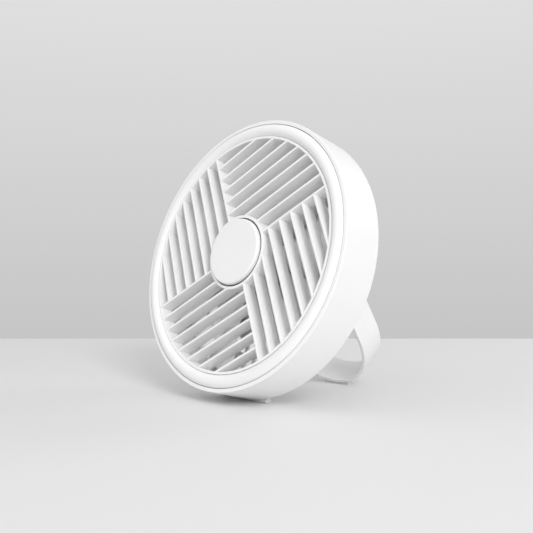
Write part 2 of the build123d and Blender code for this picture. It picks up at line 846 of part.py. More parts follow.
def battery_cell(rise):
    """One round cell that lies along x, with the raised contact at its right end."""
    cell_plane = Plane(
        origin=front_plane.from_local_coords((-cell_length / 2, rise, -cell_depth)),
        x_dir=front_plane.y_dir,
        z_dir=(1, 0, 0),
    )
    with BuildSketch(cell_plane) as can:
        Circle(cell_radius)
    extrude(can.sketch, amount=cell_length - cell_button_height)
    fillet(edges().filter_by(GeomType.CIRCLE), cell_fillet)
    with BuildSketch(cell_plane.offset(cell_length - cell_button_height)) as contact:
        Circle(cell_button_radius)
    extrude(contact.sketch, amount=cell_button_height)


with BuildPart() as battery_cell_upper:
    battery_cell(upper_cell_rise)

with BuildPart() as battery_cell_lower:
    battery_cell(lower_cell_rise)

with BuildPart() as battery_cradle:
    cradle_rise = (upper_cell_rise + lower_cell_rise) / 2
    with BuildSketch(at_depth(platform_depth)):
        with Locations((0, cradle_rise)):
            Rectangle(cell_length, cell_spacing + 2 * cell_radius + 2 * cradle_margin)
    extrude(amount=-cradle_height)
    for rise in (upper_cell_rise, lower_cell_rise):
        trough_plane = Plane(
            origin=front_plane.from_local_coords((0, rise, -cell_depth)),
            x_dir=front_plane.y_dir,
            z_dir=(1, 0, 0),
        )
        with BuildSketch(trough_plane):
            Circle(cell_radius + cell_gap)
        extrude(amount=cell_length, both=True, mode=Mode.SUBTRACT)

with BuildPart() as battery_pad:
    with BuildSketch(at_depth(pod_inner_depth)):
        with Locations((0, cradle_rise)):
            Rectangle(pad_width, pad_height)
    extrude(amount=pod_inner_depth - cell_depth - cell_radius - running_gap)

# Control board: the circuit board with its switch and charging socket, on posts inside the pod's back
with BuildPart() as control_board:
    with BuildSketch(at_depth(board_rear_depth)):
        with Locations((0, board_bottom)):
            Rectangle(2 * board_half_width, board_top - board_bottom, align=(Align.CENTER, Align.MIN))
        with Locations((0, board_tongue_bottom)):
            Rectangle(
                2 * board_tongue_half_width,
                board_top - board_tongue_bottom,
                align=(Align.CENTER, Align.MIN),
            )
        with Locations(*board_post_places):
            Circle(screw_radius + screw_hole_gap, mode=Mode.SUBTRACT)
    extrude(amount=board_thickness)

with BuildPart() as board_screws:
    disc(board_post_places, screw_head_radius, board_front_depth - screw_head_height, board_front_depth)
    disc(board_post_places, screw_radius, board_front_depth, board_front_depth + board_screw_length)

with BuildPart() as tact_switch:
    with BuildSketch(at_depth(board_rear_depth)):
        with Locations((0, button_rise)):
            Rectangle(switch_side, switch_side)
    extrude(amount=-switch_height)
    disc([(0, button_rise)], switch_plunger_radius, switch_top, switch_top + switch_plunger_height)

with BuildPart() as usb_socket:
    mouth_plane = socket_plane.offset(-socket_recess)
    with BuildSketch(mouth_plane):
        RectangleRounded(socket_width, socket_height, socket_height / 2 - press_gap)
    extrude(amount=-socket_length)
    with BuildSketch(mouth_plane):
        inner_height = socket_height - 2 * socket_wall
        RectangleRounded(socket_width - 2 * socket_wall, inner_height, inner_height / 2 - press_gap)
        Rectangle(
            socket_width - 2 * inner_height, socket_tongue_thickness, mode=Mode.SUBTRACT
        )
    extrude(amount=socket_wall - socket_length, mode=Mode.SUBTRACT)

# Power button and charge lights in the pod's back face
with BuildPart() as power_button:
    disc([(0, button_rise)], button_radius, pod_inner_depth - face_gap, pod_back_depth + button_proud)
    fillet(power_button.edges().sort_by(fan_axis)[0], button_fillet)
    disc([(0, button_rise)], button_radius + button_flange, flange_front, pod_inner_depth - running_gap)

with BuildPart() as charge_lights:
    with BuildSketch(at_depth(pod_inner_depth)):
        with Locations((0, light_rise)):
            Rectangle(
                light_pitch * (light_count - 1) + 2 * light_strip_margin, 2 * light_strip_margin
            )
    extrude(amount=light_strip_thickness)
    disc(light_places, light_radius, pod_inner_depth, pod_back_depth)

os.makedirs("parts", exist_ok=True)
pieces = {
    "housing_barrel": housing_barrel,
    "front_ring": front_ring,
    "front_grille": front_grille,
    "hub_cap": hub_cap,
    "fan_rotor": fan_rotor,
    "motor_can": motor_can,
    "magnet_ring": magnet_ring,
    "motor_shaft": motor_shaft,
    "shaft_clip": shaft_clip,
    "stator_core": stator_core,
    "stator_coils": stator_coils,
    "motor_base": motor_base,
    "bearing_front": bearing_front,
    "bearing_rear": bearing_rear,
    "motor_screws": motor_screws,
    "rear_cover": rear_cover,
    "cover_screws": cover_screws,
    "pod_shell": pod_shell,
    "pod_screws": pod_screws,
    "stand": stand,
    "hinge_pin_right": hinge_pin_right,
    "hinge_pin_left": hinge_pin_left,
    "friction_washers": friction_washers,
    "stand_pad": stand_pad,
    "body_foot": body_foot,
    "battery_cell_upper": battery_cell_upper,
    "battery_cell_lower": battery_cell_lower,
    "battery_cradle": battery_cradle,
    "battery_pad": battery_pad,
    "control_board": control_board,
    "board_screws": board_screws,
    "tact_switch": tact_switch,
    "usb_socket": usb_socket,
    "power_button": power_button,
    "charge_lights": charge_lights,
}
for name, piece in pieces.items():
    piece.part.label = name
    export_step(piece.part, f"parts/{name}.step")
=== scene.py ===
"""Finished surfaces for a round rechargeable fan on a folding strap stand.

Every length is in metres. The fan's own frame has x to the right, y up the front face and z forwards
along its axis, with its origin in the plane of the front seams, so a depth is a negative z.
"""

import json
from math import atan2, cos, pi, radians, sin, sqrt, tau

import bpy
import numpy as np
from bpy.props import FloatProperty, FloatVectorProperty, IntProperty, PointerProperty
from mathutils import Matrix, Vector
from mathutils.geometry import delaunay_2d_cdt


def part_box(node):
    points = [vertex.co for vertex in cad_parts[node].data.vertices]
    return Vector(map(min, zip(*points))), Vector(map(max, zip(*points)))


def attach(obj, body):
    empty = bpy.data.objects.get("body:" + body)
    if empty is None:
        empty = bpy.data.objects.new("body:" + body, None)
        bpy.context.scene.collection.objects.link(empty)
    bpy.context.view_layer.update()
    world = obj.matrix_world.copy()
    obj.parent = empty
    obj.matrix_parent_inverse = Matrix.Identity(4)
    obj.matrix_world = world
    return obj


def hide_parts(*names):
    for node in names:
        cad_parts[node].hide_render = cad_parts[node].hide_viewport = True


bl_info = {
    "name": "Rechargeable Fan",
    "version": (1, 0, 0),
    "blender": (4, 5, 0),
    "location": "3D View > Sidebar > Fan",
    "description": "Builds the finished surfaces of a rechargeable fan round its frame",
    "category": "Object",
}

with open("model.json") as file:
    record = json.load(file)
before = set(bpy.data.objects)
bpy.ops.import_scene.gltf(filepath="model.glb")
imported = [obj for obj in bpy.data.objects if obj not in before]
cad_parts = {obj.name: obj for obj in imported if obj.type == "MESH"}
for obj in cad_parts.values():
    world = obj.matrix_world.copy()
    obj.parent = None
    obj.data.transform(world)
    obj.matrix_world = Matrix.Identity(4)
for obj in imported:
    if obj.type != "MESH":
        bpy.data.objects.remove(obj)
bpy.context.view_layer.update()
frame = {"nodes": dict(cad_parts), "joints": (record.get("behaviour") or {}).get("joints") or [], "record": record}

# Places that come from the frame
joints = {joint["name"]: joint for joint in frame["joints"]}
node_slots = {part["node"]: part["material_slot"] for part in frame["record"]["subparts"]}
fan_centre = np.array(joints["rotor_spin"]["pos_m"])
fan_forward = np.array(joints["rotor_spin"]["axis"])
fan_right = np.array([1.0, 0.0, 0.0])
fan_up = np.cross(fan_forward, fan_right)
fan_axes = np.stack([fan_right, fan_up, fan_forward])
pivot = np.array(joints["stand_fold"]["pos_m"])

# Steps round the axis
TURN_STEPS = 288
MIDDLE_TURN_STEPS = 144
SMALL_TURN_STEPS = 96
TINY_TURN_STEPS = 48
SHANK_TURN_STEPS = 32
LENS_TURN_STEPS = 40

# Steps and points along curves and rounded edges
ROUND_STEPS = 4
FINE_ROUND_STEPS = 6
EDGE_STEPS = 3
CROSS_STEPS = 2
PIN_HOLE_STEPS = 1
HOOP_POINTS = 181
ARM_POINTS = 13
DISH_POINTS = 10
LENS_POINTS = 7
PIN_CROWN_POINTS = 8
ARC_STEP = radians(1.25)
CROWN_STEP = 0.06
COLLAR_STEP = 0.05
RIM_STEP = 0.2
HUB_STEP = 0.15

# Edges sharper than this stay sharp, and points nearer than this are one
SHARP_ANGLE = radians(38.0)
SAME_POINT = 1e-7

# Flat faces are filled in millimetres, with triangles that leave the holes open
FILL_SCALE = 1000.0
FILL_EPSILON = 1e-6
FILL_WITH_HOLES = 2

# Corners of a square about the middle
CORNERS = np.array([(-1, -1), (1, -1), (1, 1), (-1, 1)])

# Rings of points on the cap's face and the hub's face, as shares of their radius
CAP_RING_SHARES = (0.0, 0.3, 0.6, 0.85)
HUB_RING_SHARE = 0.5

# A blade's section: how much of the chord it takes, how blunt its edges are, and how often its tip is
# corrected
CHORD_SHARE = 0.9995
EDGE_POWER = 24
TIP_PASSES = 8

# Shares of a screw head's radius, then of its height
CROSS_ARM_SHARE = 0.48
CROSS_HALF_SHARE = 0.13
CROSS_ROUND_SHARE = 0.0325
CORE_SHARE = 0.66
DOME_SHARE = 0.55
CROSS_FLOOR_SHARE = 0.45
SHANK_SHARE = 2.0

# Shares of the button's radius, of its height and of its flange's reach
DISH_SPAN_SHARE = 0.9
DISH_SHARE = 0.5
BUTTON_ROUND_SHARE = 0.8
FLANGE_GAP_SHARE = 0.1
FLANGE_THICKNESS_SHARE = 0.65

# Shares of a charge light's radius
LENS_DOME_SHARE = 0.12
LENS_SUNK_SHARE = 0.1
STRIP_SHARE = 1.6
STRIP_ROUND_SHARE = 0.25
STRIP_EDGE_SHARE = 0.125

# Shares of a pin head's radius and rounding, and of the rear foot's rounding
PIN_CROWN_SPAN_SHARE = 0.8
PIN_CROWN_SHARE = 0.35
FOOT_END_SHARE = 0.7

# Numbers of the colour sockets on a mix node: two that go in and one that comes out
MIX_FIRST = 6
MIX_SECOND = 7
MIX_RESULT = 2

# How the noises of a finish are weighed, and how deep its relief is
LEADING_SHARE = 0.6
PLAIN_TONE = 0.6
GRAIN_REACH = 0.8
CLOUD_REACH = 0.6
GRAIN_DEPTH = 0.00004
STREAK_RELIEF = 0.15
STREAK_DEPTH = 0.00003
CELL_DEPTH = 0.00005
CELL_SPECULAR = 0.3

# Heights in the surroundings, as sines: where the even light is full, and where the backdrop's blend
# starts and ends
SKY_FULL_SINE = 0.6
BACKDROP_LOW_SINE = -0.1
BACKDROP_HIGH_SINE = 0.35


def fan_reach(node):
    """How far a node reaches to the right, to the front and to the back in the fan's own frame."""
    piece = frame["nodes"][node]
    points = np.empty(3 * len(piece.data.vertices))
    piece.data.vertices.foreach_get("co", points)
    turned_points = points.reshape(-1, 3) @ np.array(piece.matrix_world.to_3x3()).T
    local = (turned_points + np.array(piece.matrix_world.translation) - fan_centre) @ fan_axes.T
    right, _, front = local.max(0)
    return {"right": right, "front": front, "back": -local[:, 2].min()}


def kind(make, **always):
    """A maker of one kind of property, from its name, its default and a description."""
    return lambda name, default, description: make(
        name=name, default=default, description=description, **always
    )


length = kind(FloatProperty, unit="LENGTH", precision=5)
share = kind(FloatProperty, min=0.0, max=1.0, subtype="FACTOR")
amount = kind(FloatProperty, min=0.0)
number = kind(FloatProperty)
count = kind(IntProperty, min=1)
position = kind(FloatVectorProperty, unit="LENGTH", precision=5)
direction = kind(FloatVectorProperty, subtype="DIRECTION")
colour = kind(FloatVectorProperty, size=3, min=0.0, max=1.0, subtype="COLOR")


def angle(name, default, description):
    """An angle that a user can change, given in degrees."""
    return FloatProperty(name=name, description=description, default=radians(default), subtype="ANGLE")


# How far the solids reach, for the defaults below
barrel_reach = fan_reach("housing_barrel")
ring_reach = fan_reach("front_ring")
cap_reach = fan_reach("hub_cap")
rotor_reach = fan_reach("fan_rotor")
cover_reach = fan_reach("rear_cover")
pod_reach = fan_reach("pod_shell")
stand_reach = fan_reach("stand")


class FanFrontSizes(bpy.types.PropertyGroup):
    """Sizes of the barrel, the trim ring, the louvre grille and the cap"""

    housing_radius: length("Housing radius", barrel_reach["right"], "Outside of the barrel")
    housing_depth: length(
        "Housing depth", barrel_reach["back"], "From the front seams to the barrel's rear edge"
    )
    lip_width: length("Lip width", 0.0025, "Wall of the barrel, seen as a lip from the front")
    lip_round: length("Lip rounding", 0.0006, "Radius of the barrel's front edge")
    rear_round: length("Rear rounding", 0.001, "Radius of the barrel's rear edge")
    ledge_depth: length("Ledge depth", ring_reach["back"], "Depth of the ledge under ring and grille")
    ledge_thickness: length("Ledge thickness", 0.002, "Thickness of that ledge")
    duct_gap: length("Duct gap", 0.00035, "Step from the grille's rim out to the air duct")
    duct_wall: length("Duct wall", 0.0015, "Wall of the air duct")
    duct_setback: length("Duct setback", 0.0024, "From the air duct's rear end to the barrel's rear edge")
    # Painted shade inside the ledge and the air duct, darker with depth
    duct_grime: share("Duct grime", 0.35, "Greyness inside the air duct")
    seam_gap: length("Seam gap", 0.0004, "Width of the seam between barrel and trim ring")
    rim_gap: length("Rim gap", 0.0002, "Width of the seam between trim ring and grille")
    ring_radius: length("Ring radius", ring_reach["right"], "Outside of the trim ring")
    ring_width: length("Ring width", 0.00805, "Width of the trim ring's face")
    ring_crown: length("Ring crown", ring_reach["front"], "Height of the trim ring over the seams")
    ring_edge_drop: length("Ring edge drop", 0.00025, "Depth of the trim ring's edges in the seams")
    grille_proud: length("Louvre height", 0.0004, "Height of the louvres' front edges over the seams")
    grille_depth: length("Louvre depth", 0.009, "Depth of the louvres behind the seams")
    # Painted shade towards the louvres' rear edges
    louvre_grime: share("Louvre grime", 0.015, "Greyness at the louvres' rear edges")
    # Painted shade in the gap round the cap
    gap_grime: share("Gap grime", 1.0, "Greyness in the gap round the cap")
    louvre_thickness: length("Louvre thickness", 0.0015, "Thickness of one louvre")
    louvre_pitch: length("Louvre pitch", 0.00969, "Step from one louvre to the next")
    louvre_turn: angle("Louvre turn", 30.0, "Angle of the first field of louvres from level")
    louvre_count: count("Louvres", 8, "Louvres in one field")
    field_count: count("Fields", 4, "Fields of louvres round the collar")
    rim_wall: length("Rim wall", 0.0017, "Wall of the grille's rim")
    collar_radius: length("Collar radius", 0.0247, "Outside of the collar round the cap")
    edge_round: length("Louvre edge rounding", 0.00028, "Radius of the louvres' long edges")
    flange_width: length("Flange width", 0.0038, "Reach of the flange under the trim ring")
    flange_thickness: length("Flange thickness", 0.0015, "Thickness of that flange")
    cap_radius: length("Cap radius", cap_reach["right"], "Outside of the cap")
    cap_gap: length("Cap gap", 0.001, "Gap between the cap and its collar")
    cap_proud: length("Cap height", cap_reach["front"], "Height of the cap's face over the seams")
    # Heights where the painted shade in the gap round the cap starts and where it is full
    gap_light: length("Gap light edge", 0.0, "Height where the gap round the cap starts to grey")
    gap_dark: length("Gap dark edge", -0.0004, "Height below which that gap is grey all over")
    cap_round: length("Cap rounding", 0.0011, "Radius of the cap's front edge")
    cap_seat: length("Cap seat", 0.0025, "Depth of the cap's seat in the collar")
    cap_plug: length("Cap plug radius", 0.005, "Radius of the plug behind the cap")
    collar_floor: length("Collar floor", 0.002, "Thickness of the floor behind the cap")


class FanRotorSizes(bpy.types.PropertyGroup):
    """Sizes of the bladed rotor"""

    hub_radius: length("Hub radius", 0.022, "Outside of the hub")
    hub_wall: length("Hub wall", 0.0018, "Wall of the hub cup")
    hub_round: length("Hub rounding", 0.0015, "Radius of the hub's front edge")
    front_depth: length("Front depth", -rotor_reach["front"], "Depth of the hub's front face")
    rear_depth: length("Rear depth", rotor_reach["back"], "Depth of the hub's rear edge")
    tip_radius: length("Tip radius", 0.0754, "Radius at the blade tips")
    root_radius: length("Root radius", 0.021, "Radius where the blades start inside the hub")
    blade_count: count("Blades", 7, "Number of blades")
    root_chord: length("Root chord", 0.017, "Width of a blade at the hub")
    mid_chord: length("Middle chord", 0.028, "Width of a blade halfway out")
    tip_chord: length("Tip chord", 0.042, "Width of a blade at its tip")
    root_pitch: angle("Root pitch", 42.0, "Blade angle at the hub")
    mid_pitch: angle("Middle pitch", 26.0, "Blade angle halfway out")
    tip_pitch: angle("Tip pitch", 16.0, "Blade angle at the tip")
    camber: share("Camber", 0.07, "Rise of a blade's section as a share of its chord")
    thickness: length("Blade thickness", 0.0017, "Thickness in the middle of a blade")
    edge_thickness: length("Blade edge", 0.0009, "Thickness close to a blade's edges")
    # Painted shade towards the rotor's rear edge
    grime: share("Grime", 0.5, "Greyness at the rotor's rear edge")


class FanRearSizes(bpy.types.PropertyGroup):
    """Sizes of the rear cover, the pod's button and lights, and the screws"""

    cover_radius: length("Cover radius", cover_reach["right"], "Outside of the rear cover")
    cover_thickness: length("Cover thickness", 0.002, "Thickness of the rear cover")
    skirt_length: length("Skirt", 0.004, "Reach of the cover's skirt into the barrel")
    skirt_wall: length("Skirt wall", 0.0015, "Wall of that skirt")
    slot_inner: length("Slot inner radius", 0.05196, "Where the intake slots start")
    slot_outer: length("Slot outer radius", 0.0765, "Where the intake slots end")
    band_radius: length("Band radius", 0.06251, "Middle of the band between the two rows of slots")
    band_width: length("Band width", 0.0024, "Width of that band")
    slot_count: count("Slots", 48, "Intake slots in one row")
    rib_width: length("Rib width", 0.0022, "Width of the ribs between the slots")
    slot_round: length("Slot rounding", 0.0009, "Corner radius of the slots")
    edge_round: length("Slot edge rounding", 0.0003, "Radius of the slots' long edges")
    pod_back: length("Pod back", pod_reach["back"], "Depth of the pod's back face")
    pod_wall: length("Pod wall", 0.0022, "Wall of the pod")
    button_rise: length("Button rise", -0.02, "Height of the button over the fan's axis")
    button_radius: length("Button radius", 0.0065, "Radius of the button")
    button_proud: length("Button height", 0.0005, "Height of the button over the pod's back")
    button_flange: length("Button flange", 0.0013, "Reach of the flange that holds the button in")
    light_rise: length("Light rise", -0.0095, "Height of the charge lights over the fan's axis")
    light_radius: length("Light radius", 0.001, "Radius of a charge light")
    light_pitch: length("Light pitch", 0.0045, "Step between charge lights")
    light_count: count("Lights", 4, "Number of charge lights")
    screw_head_radius: length("Screw head radius", 0.0022, "Radius of a screw head")
    screw_head_height: length("Screw head height", 0.0014, "Height of a screw head")
    screw_radius: length("Screw radius", 0.001, "Radius of a screw's shank")
    cover_screw_circle: length("Cover screw circle", 0.0826, "Radius of the circle of cover screws")
    pod_screw_x: length("Pod screw x", 0.018, "Pod screws left and right of the axis")
    pod_screw_y: length("Pod screw y", 0.0368, "Pod screws above and below the axis")
    pod_screw_depth: length("Pod screw depth", 0.0365, "Depth of the pod screws' seats")


class FanStandSizes(bpy.types.PropertyGroup):
    """Sizes of the strap stand, its pins and the feet"""

    lean: angle("Lean", 34.0, "Angle of the strap from upright")
    half_width: length("Half width", stand_reach["right"], "Half of the hoop's outside width")
    thickness: length("Thickness", 0.0025, "Thickness of the strap")
    width: length("Width", 0.0214, "Width of the strap")
    edge_round: length("Edge rounding", 0.0004, "Radius of the strap's long edges")
    pad_drop: length("Pad drop", 0.0009, "Height of the strap's lowest edge over the table")
    pad_setback: length("Pad setback", 0.001, "From the strap's lowest edge back to the pad's front")
    pad_round: length("Pad rounding", 0.0008, "Corner radius of the pad under the strap")
    pin_radius: length("Pin radius", 0.0025, "Radius of a hinge pin")
    pin_hole_gap: length("Pin hole gap", 0.00005, "Running gap round a hinge pin")
    pin_head_radius: length("Pin head radius", 0.0065, "Radius of a hinge pin's head")
    pin_head_height: length("Pin head height", 0.0018, "Height of a hinge pin's head")
    pin_head_gap: length("Pin head gap", 0.0001, "Gap between strap and pin head")
    pin_head_round: length("Pin head rounding", 0.0008, "Radius of the head's edge")
    pin_end: length("Pin end", 0.0333, "Where a pin ends, from the middle of the fan")
    foot_width: length("Foot width", 0.0046, "Front to back size of the rear foot")
    foot_length: length("Foot length", 0.043, "Length of the rear foot")
    foot_front_height: length("Foot front height", 0.0074, "Height of the foot along the cover")
    foot_back_height: length("Foot back height", 0.0034, "Height of the foot at its back")
    foot_round: length("Foot rounding", 0.0011, "Radius of the rear foot's edges")


class FanColours(bpy.types.PropertyGroup):
    """Colours of the plastics that show"""

    shell: colour("Shell", (0.935, 0.935, 0.933), "Barrel, rear cover and pod")
    ring: colour("Trim ring", (0.945, 0.945, 0.943), "Trim ring round the grille")
    grille: colour("Grille", (0.95, 0.95, 0.948), "Louvres and collar")
    cap: colour("Cap", (0.935, 0.935, 0.933), "Cap in the middle of the grille")
    # The hub and blades are white plastic; this grey is painted shade for their place deep in the duct
    rotor: colour("Rotor", (0.82, 0.824, 0.824), "Hub and blades")
    stand: colour("Stand", (0.945, 0.945, 0.943), "Strap stand and pin heads")
    foot: colour("Feet", (0.88, 0.88, 0.874), "Rubber feet")
    button: colour("Button", (0.66, 0.665, 0.67), "Power button")
    lens: colour("Charge lights", (0.7, 0.78, 0.74), "Lenses of the charge lights")


class FanStage(bpy.types.PropertyGroup):
    """Camera, floor and light"""

    camera_place: position("Camera place", (0.35507, -0.31838, -0.00714), "Where the camera stands")
    camera_turn: angle("Camera turn", 45.77, "Turn of the level camera round the upright axis")
    camera_lens: amount("Lens", 50.14, "Focal length in millimetres on a 36 mm frame")
    camera_shift: number("Shift", -0.0064, "Height of the frame on the lens")
    floor_colour: colour("Floor", (0.83, 0.83, 0.83), "Pale plain floor")
    floor_roughness: share("Floor roughness", 0.6, "How dull the floor is")
    floor_back: length("Floor behind", 0.36, "Reach of the floor behind the fan")
    floor_front: length("Floor in front", 0.75, "Reach of the floor in front of the fan")
    floor_side: length("Floor aside", 0.8, "Reach of the floor to each side")
    backdrop_low: colour("Backdrop low", (0.56, 0.56, 0.56), "Plain surroundings at the floor's height")
    backdrop_high: colour("Backdrop high", (0.75, 0.75, 0.75), "Plain surroundings above")
    sky_level: amount("Sky", 0.575, "Mean strength of the even light")
    sky_lean: amount("Sky lean", 0.5, "How much stronger it is on its bright side")
    sky_horizon: amount("Sky horizon", 0.4, "Share of it left at the horizon")
    sky_side: direction("Sky side", (0.1, -0.9, 0.3), "Direction of its bright side")
    key_power: amount("Key light", 17.4, "Power of the large lamp")
    key_size: length("Key size", 0.7, "Side of the large lamp")
    key_place: position("Key place", (1.55, -0.7, 0.9), "Where the large lamp hangs")
    fill_power: amount("Fill light", 5.0, "Power of the lamp behind")
    fill_size: length("Fill size", 1.0, "Side of the lamp behind")
    fill_place: position("Fill place", (0.6, 1.6, 1.1), "Where the lamp behind hangs")


class Surface:
    """Points with four-sided and three-sided faces that refer to them by number."""

    def __init__(self, points, quads=(), triangles=()):
        self.points = np.asarray(points, float).reshape(-1, 3)
        self.quads = np.asarray(quads, int).reshape(-1, 4)
        self.triangles = np.asarray(triangles, int).reshape(-1, 3)

    def placed(self, place):
        """The same faces with every point moved by a function of the points."""
        return Surface(place(self.points), self.quads, self.triangles)

    def facing_out(self):
        """The surface turned so that the volume it encloses, the sum of a . (b x c) / 6, is positive."""
        corners = np.concatenate([self.quads[:, [0, 1, 2]], self.quads[:, [0, 2, 3]], self.triangles])
        a, b, c = self.points[corners].transpose(1, 0, 2)
        if np.einsum("ij,ij->", a - self.points[0], np.cross(b - self.points[0], c - self.points[0])) < 0:
            return Surface(self.points, self.quads[:, ::-1], self.triangles[:, ::-1])
        return self


def joined(surfaces):
    """Several surfaces as one."""
    offsets = np.cumsum([0] + [len(surface.points) for surface in surfaces])[:-1]
    return Surface(
        np.concatenate([surface.points for surface in surfaces]),
        np.concatenate([surface.quads + offset for surface, offset in zip(surfaces, offsets)]),
        np.concatenate([surface.triangles + offset for surface, offset in zip(surfaces, offsets)]),
    )


def fan_place(x=0.0, y=0.0, z=0.0):
    """A function that carries points of the fan's own frame, moved by x, y and z, into the shared frame."""
    return lambda points: fan_centre + (points + (x, y, z)) @ fan_axes


def grid_quads(rows, columns, close_rows, close_columns):
    """Faces of a grid of points, wrapped round where an edge of the grid is closed."""
    index = np.arange(rows * columns).reshape(rows, columns)
    if close_rows:
        index = np.concatenate([index, index[:1]])
    if close_columns:
        index = np.concatenate([index, index[:, :1]], axis=1)
    return np.stack([index[:-1, :-1], index[1:, :-1], index[1:, 1:], index[:-1, 1:]], -1).reshape(-1, 4)


def arc(centre, radius, start, end, step=ARC_STEP):
    """Points on a circle from one angle to another: centre + radius (cos a, sin a)."""
    angles = np.linspace(start, end, max(2, int(abs(end - start) / step) + 2))
    return np.asarray(centre) + radius * np.stack([np.cos(angles), np.sin(angles)], -1)


def seen_from_behind(points):
    """Points of a shape that faces forwards, turned half round x so that it faces backwards."""
    return points * (1, -1, -1)


def circle(radius, steps, centre=(0.0, 0.0)):
    """A closed circle, without its first point again at the end."""
    angles = tau * np.arange(steps) / steps
    return np.asarray(centre) + radius * np.stack([np.cos(angles), np.sin(angles)], -1)


def rim_arc(edge, top, radius, step=RIM_STEP):
    """A quarter circle that rounds the corner between a top and the edge round it."""
    return arc((edge - radius, top - radius), radius, pi / 2, 0.0, step)


def domed(edge, base, rise, points):
    """A parabola from the axis out to an edge: radius t edge and height base + rise (1 - t^2)."""
    t = np.linspace(0.0, 1.0, points)
    return np.stack([edge * t, base + rise * (1 - t**2)], -1)


def distinct(loop):
    """A closed loop without the points that fall on the one before."""
    return loop[np.linalg.norm(loop - np.roll(loop, 1, 0), axis=1) > SAME_POINT]


def rounded(points, radii, steps=ROUND_STEPS):
    """A closed outline whose corners are arcs: each centre lies on the corner's bisector, radius / sin(half
    the corner) from it, and the arc runs between the two points where the circle touches the sides."""
    points = np.asarray(points, float)
    radii = np.broadcast_to(np.asarray(radii, float), len(points))[:, None]
    back = np.roll(points, 1, 0) - points
    ahead = np.roll(points, -1, 0) - points
    back = back / np.linalg.norm(back, axis=1, keepdims=True)
    ahead = ahead / np.linalg.norm(ahead, axis=1, keepdims=True)
    half = np.arccos(np.clip((back * ahead).sum(1, keepdims=True), -1, 1)) / 2
    bisector = (back + ahead) / np.linalg.norm(back + ahead, axis=1, keepdims=True)
    centre = points + bisector * radii / np.sin(half)
    start = points + back * radii / np.tan(half) - centre
    end = points + ahead * radii / np.tan(half) - centre
    first = np.arctan2(start[:, 1], start[:, 0])
    sweep = np.arctan2(start[:, 0] * end[:, 1] - start[:, 1] * end[:, 0], (start * end).sum(1))
    angles = first[:, None] + sweep[:, None] * np.linspace(0, 1, steps + 1)
    loop = centre[:, None] + radii[:, None] * np.stack([np.cos(angles), np.sin(angles)], -1)
    return distinct(loop.reshape(-1, 2))


def turned(outline, steps=TURN_STEPS):
    """A closed outline of (radius, height) carried round the axis: (r cos a, r sin a, h). Where it starts and
    ends on the axis those two points become poles."""
    outline = np.asarray(outline, float)
    on_axis = outline[0, 0] == 0
    rows = outline[1:-1] if on_axis else outline
    around = tau * np.arange(steps) / steps
    radius, height = rows.T
    points = np.stack(
        [
            np.outer(np.cos(around), radius),
            np.outer(np.sin(around), radius),
            np.broadcast_to(height, (steps, len(rows))),
        ],
        -1,
    ).reshape(-1, 3)
    if not on_axis:
        return Surface(points, grid_quads(steps, len(rows), True, True)).facing_out()
    first = np.arange(steps) * len(rows)
    last = first + len(rows) - 1
    poles = [(0, 0, outline[0, 1]), (0, 0, outline[-1, 1])]
    pole = np.full(steps, len(points))
    triangles = np.concatenate(
        [
            np.stack([pole, np.roll(first, -1), first], -1),
            np.stack([pole + 1, last, np.roll(last, -1)], -1),
        ]
    )
    quads = grid_quads(steps, len(rows), True, False)
    return Surface(np.concatenate([points, poles]), quads, triangles).facing_out()


def square_ring(inner, outer, top, bottom, rounding, steps=TURN_STEPS):
    """A ring of rectangular section with rounded edges, carried round the axis."""
    corners = [(inner, top), (outer, top), (outer, bottom), (inner, bottom)]
    return turned(rounded(corners, rounding), steps)


def filled(loops):
    """Triangles of the flat area inside the first loop and outside the others, all facing up."""
    points = np.concatenate(loops) * FILL_SCALE
    starts = np.cumsum([0] + [len(loop) for loop in loops])[:-1]
    rings = [list(range(start, start + len(loop))) for start, loop in zip(starts, loops)]
    corners = [Vector(point) for point in points]
    made, _, faces, sources, *_ = delaunay_2d_cdt(corners, [], rings, FILL_WITH_HOLES, FILL_EPSILON)
    if len(made) != len(points):
        raise RuntimeError("the outline and its holes cross each other")
    triangles = np.array([[sources[corner][0] for corner in face] for face in faces], int)
    a, b, c = points[triangles].transpose(1, 0, 2)
    twice_area = (b[:, 0] - a[:, 0]) * (c[:, 1] - a[:, 1]) - (b[:, 1] - a[:, 1]) * (c[:, 0] - a[:, 0])
    return np.where(twice_area[:, None] < 0, triangles[:, ::-1], triangles)


def signed_area(loop):
    """Area of a loop, positive where it runs anticlockwise."""
    ahead = np.roll(loop, -1, 0)
    return (loop[:, 0] * ahead[:, 1] - loop[:, 1] * ahead[:, 0]).sum() / 2


def edge_levels(front, back, radius, steps=ROUND_STEPS):
    """Heights and insets down a wall between two faces, with both its edges rounded: inset r (1 - sin a) and
    drop r (1 - cos a)."""
    turn = np.linspace(0, pi / 2, steps + 1)
    inset = radius * (1 - np.sin(turn))
    drop = radius * (1 - np.cos(turn))
    return np.concatenate([np.stack([front - drop, inset], -1), np.stack([back + drop, inset], -1)[::-1]])


def loop_levels(loop, levels):
    """A loop moved to its left by each level's inset, with mitred corners, at each level's height."""
    ahead = np.roll(loop, -1, 0) - loop
    ahead = ahead / np.linalg.norm(ahead, axis=1, keepdims=True)
    normal = np.stack([-ahead[:, 1], ahead[:, 0]], -1)
    before = np.roll(normal, 1, 0)
    mitre = (normal + before) / (1 + (normal * before).sum(1, keepdims=True))
    flat = loop + levels[:, 1, None, None] * mitre
    height = np.broadcast_to(levels[:, 0, None, None], flat.shape[:2] + (1,))
    return np.concatenate([flat, height], -1)


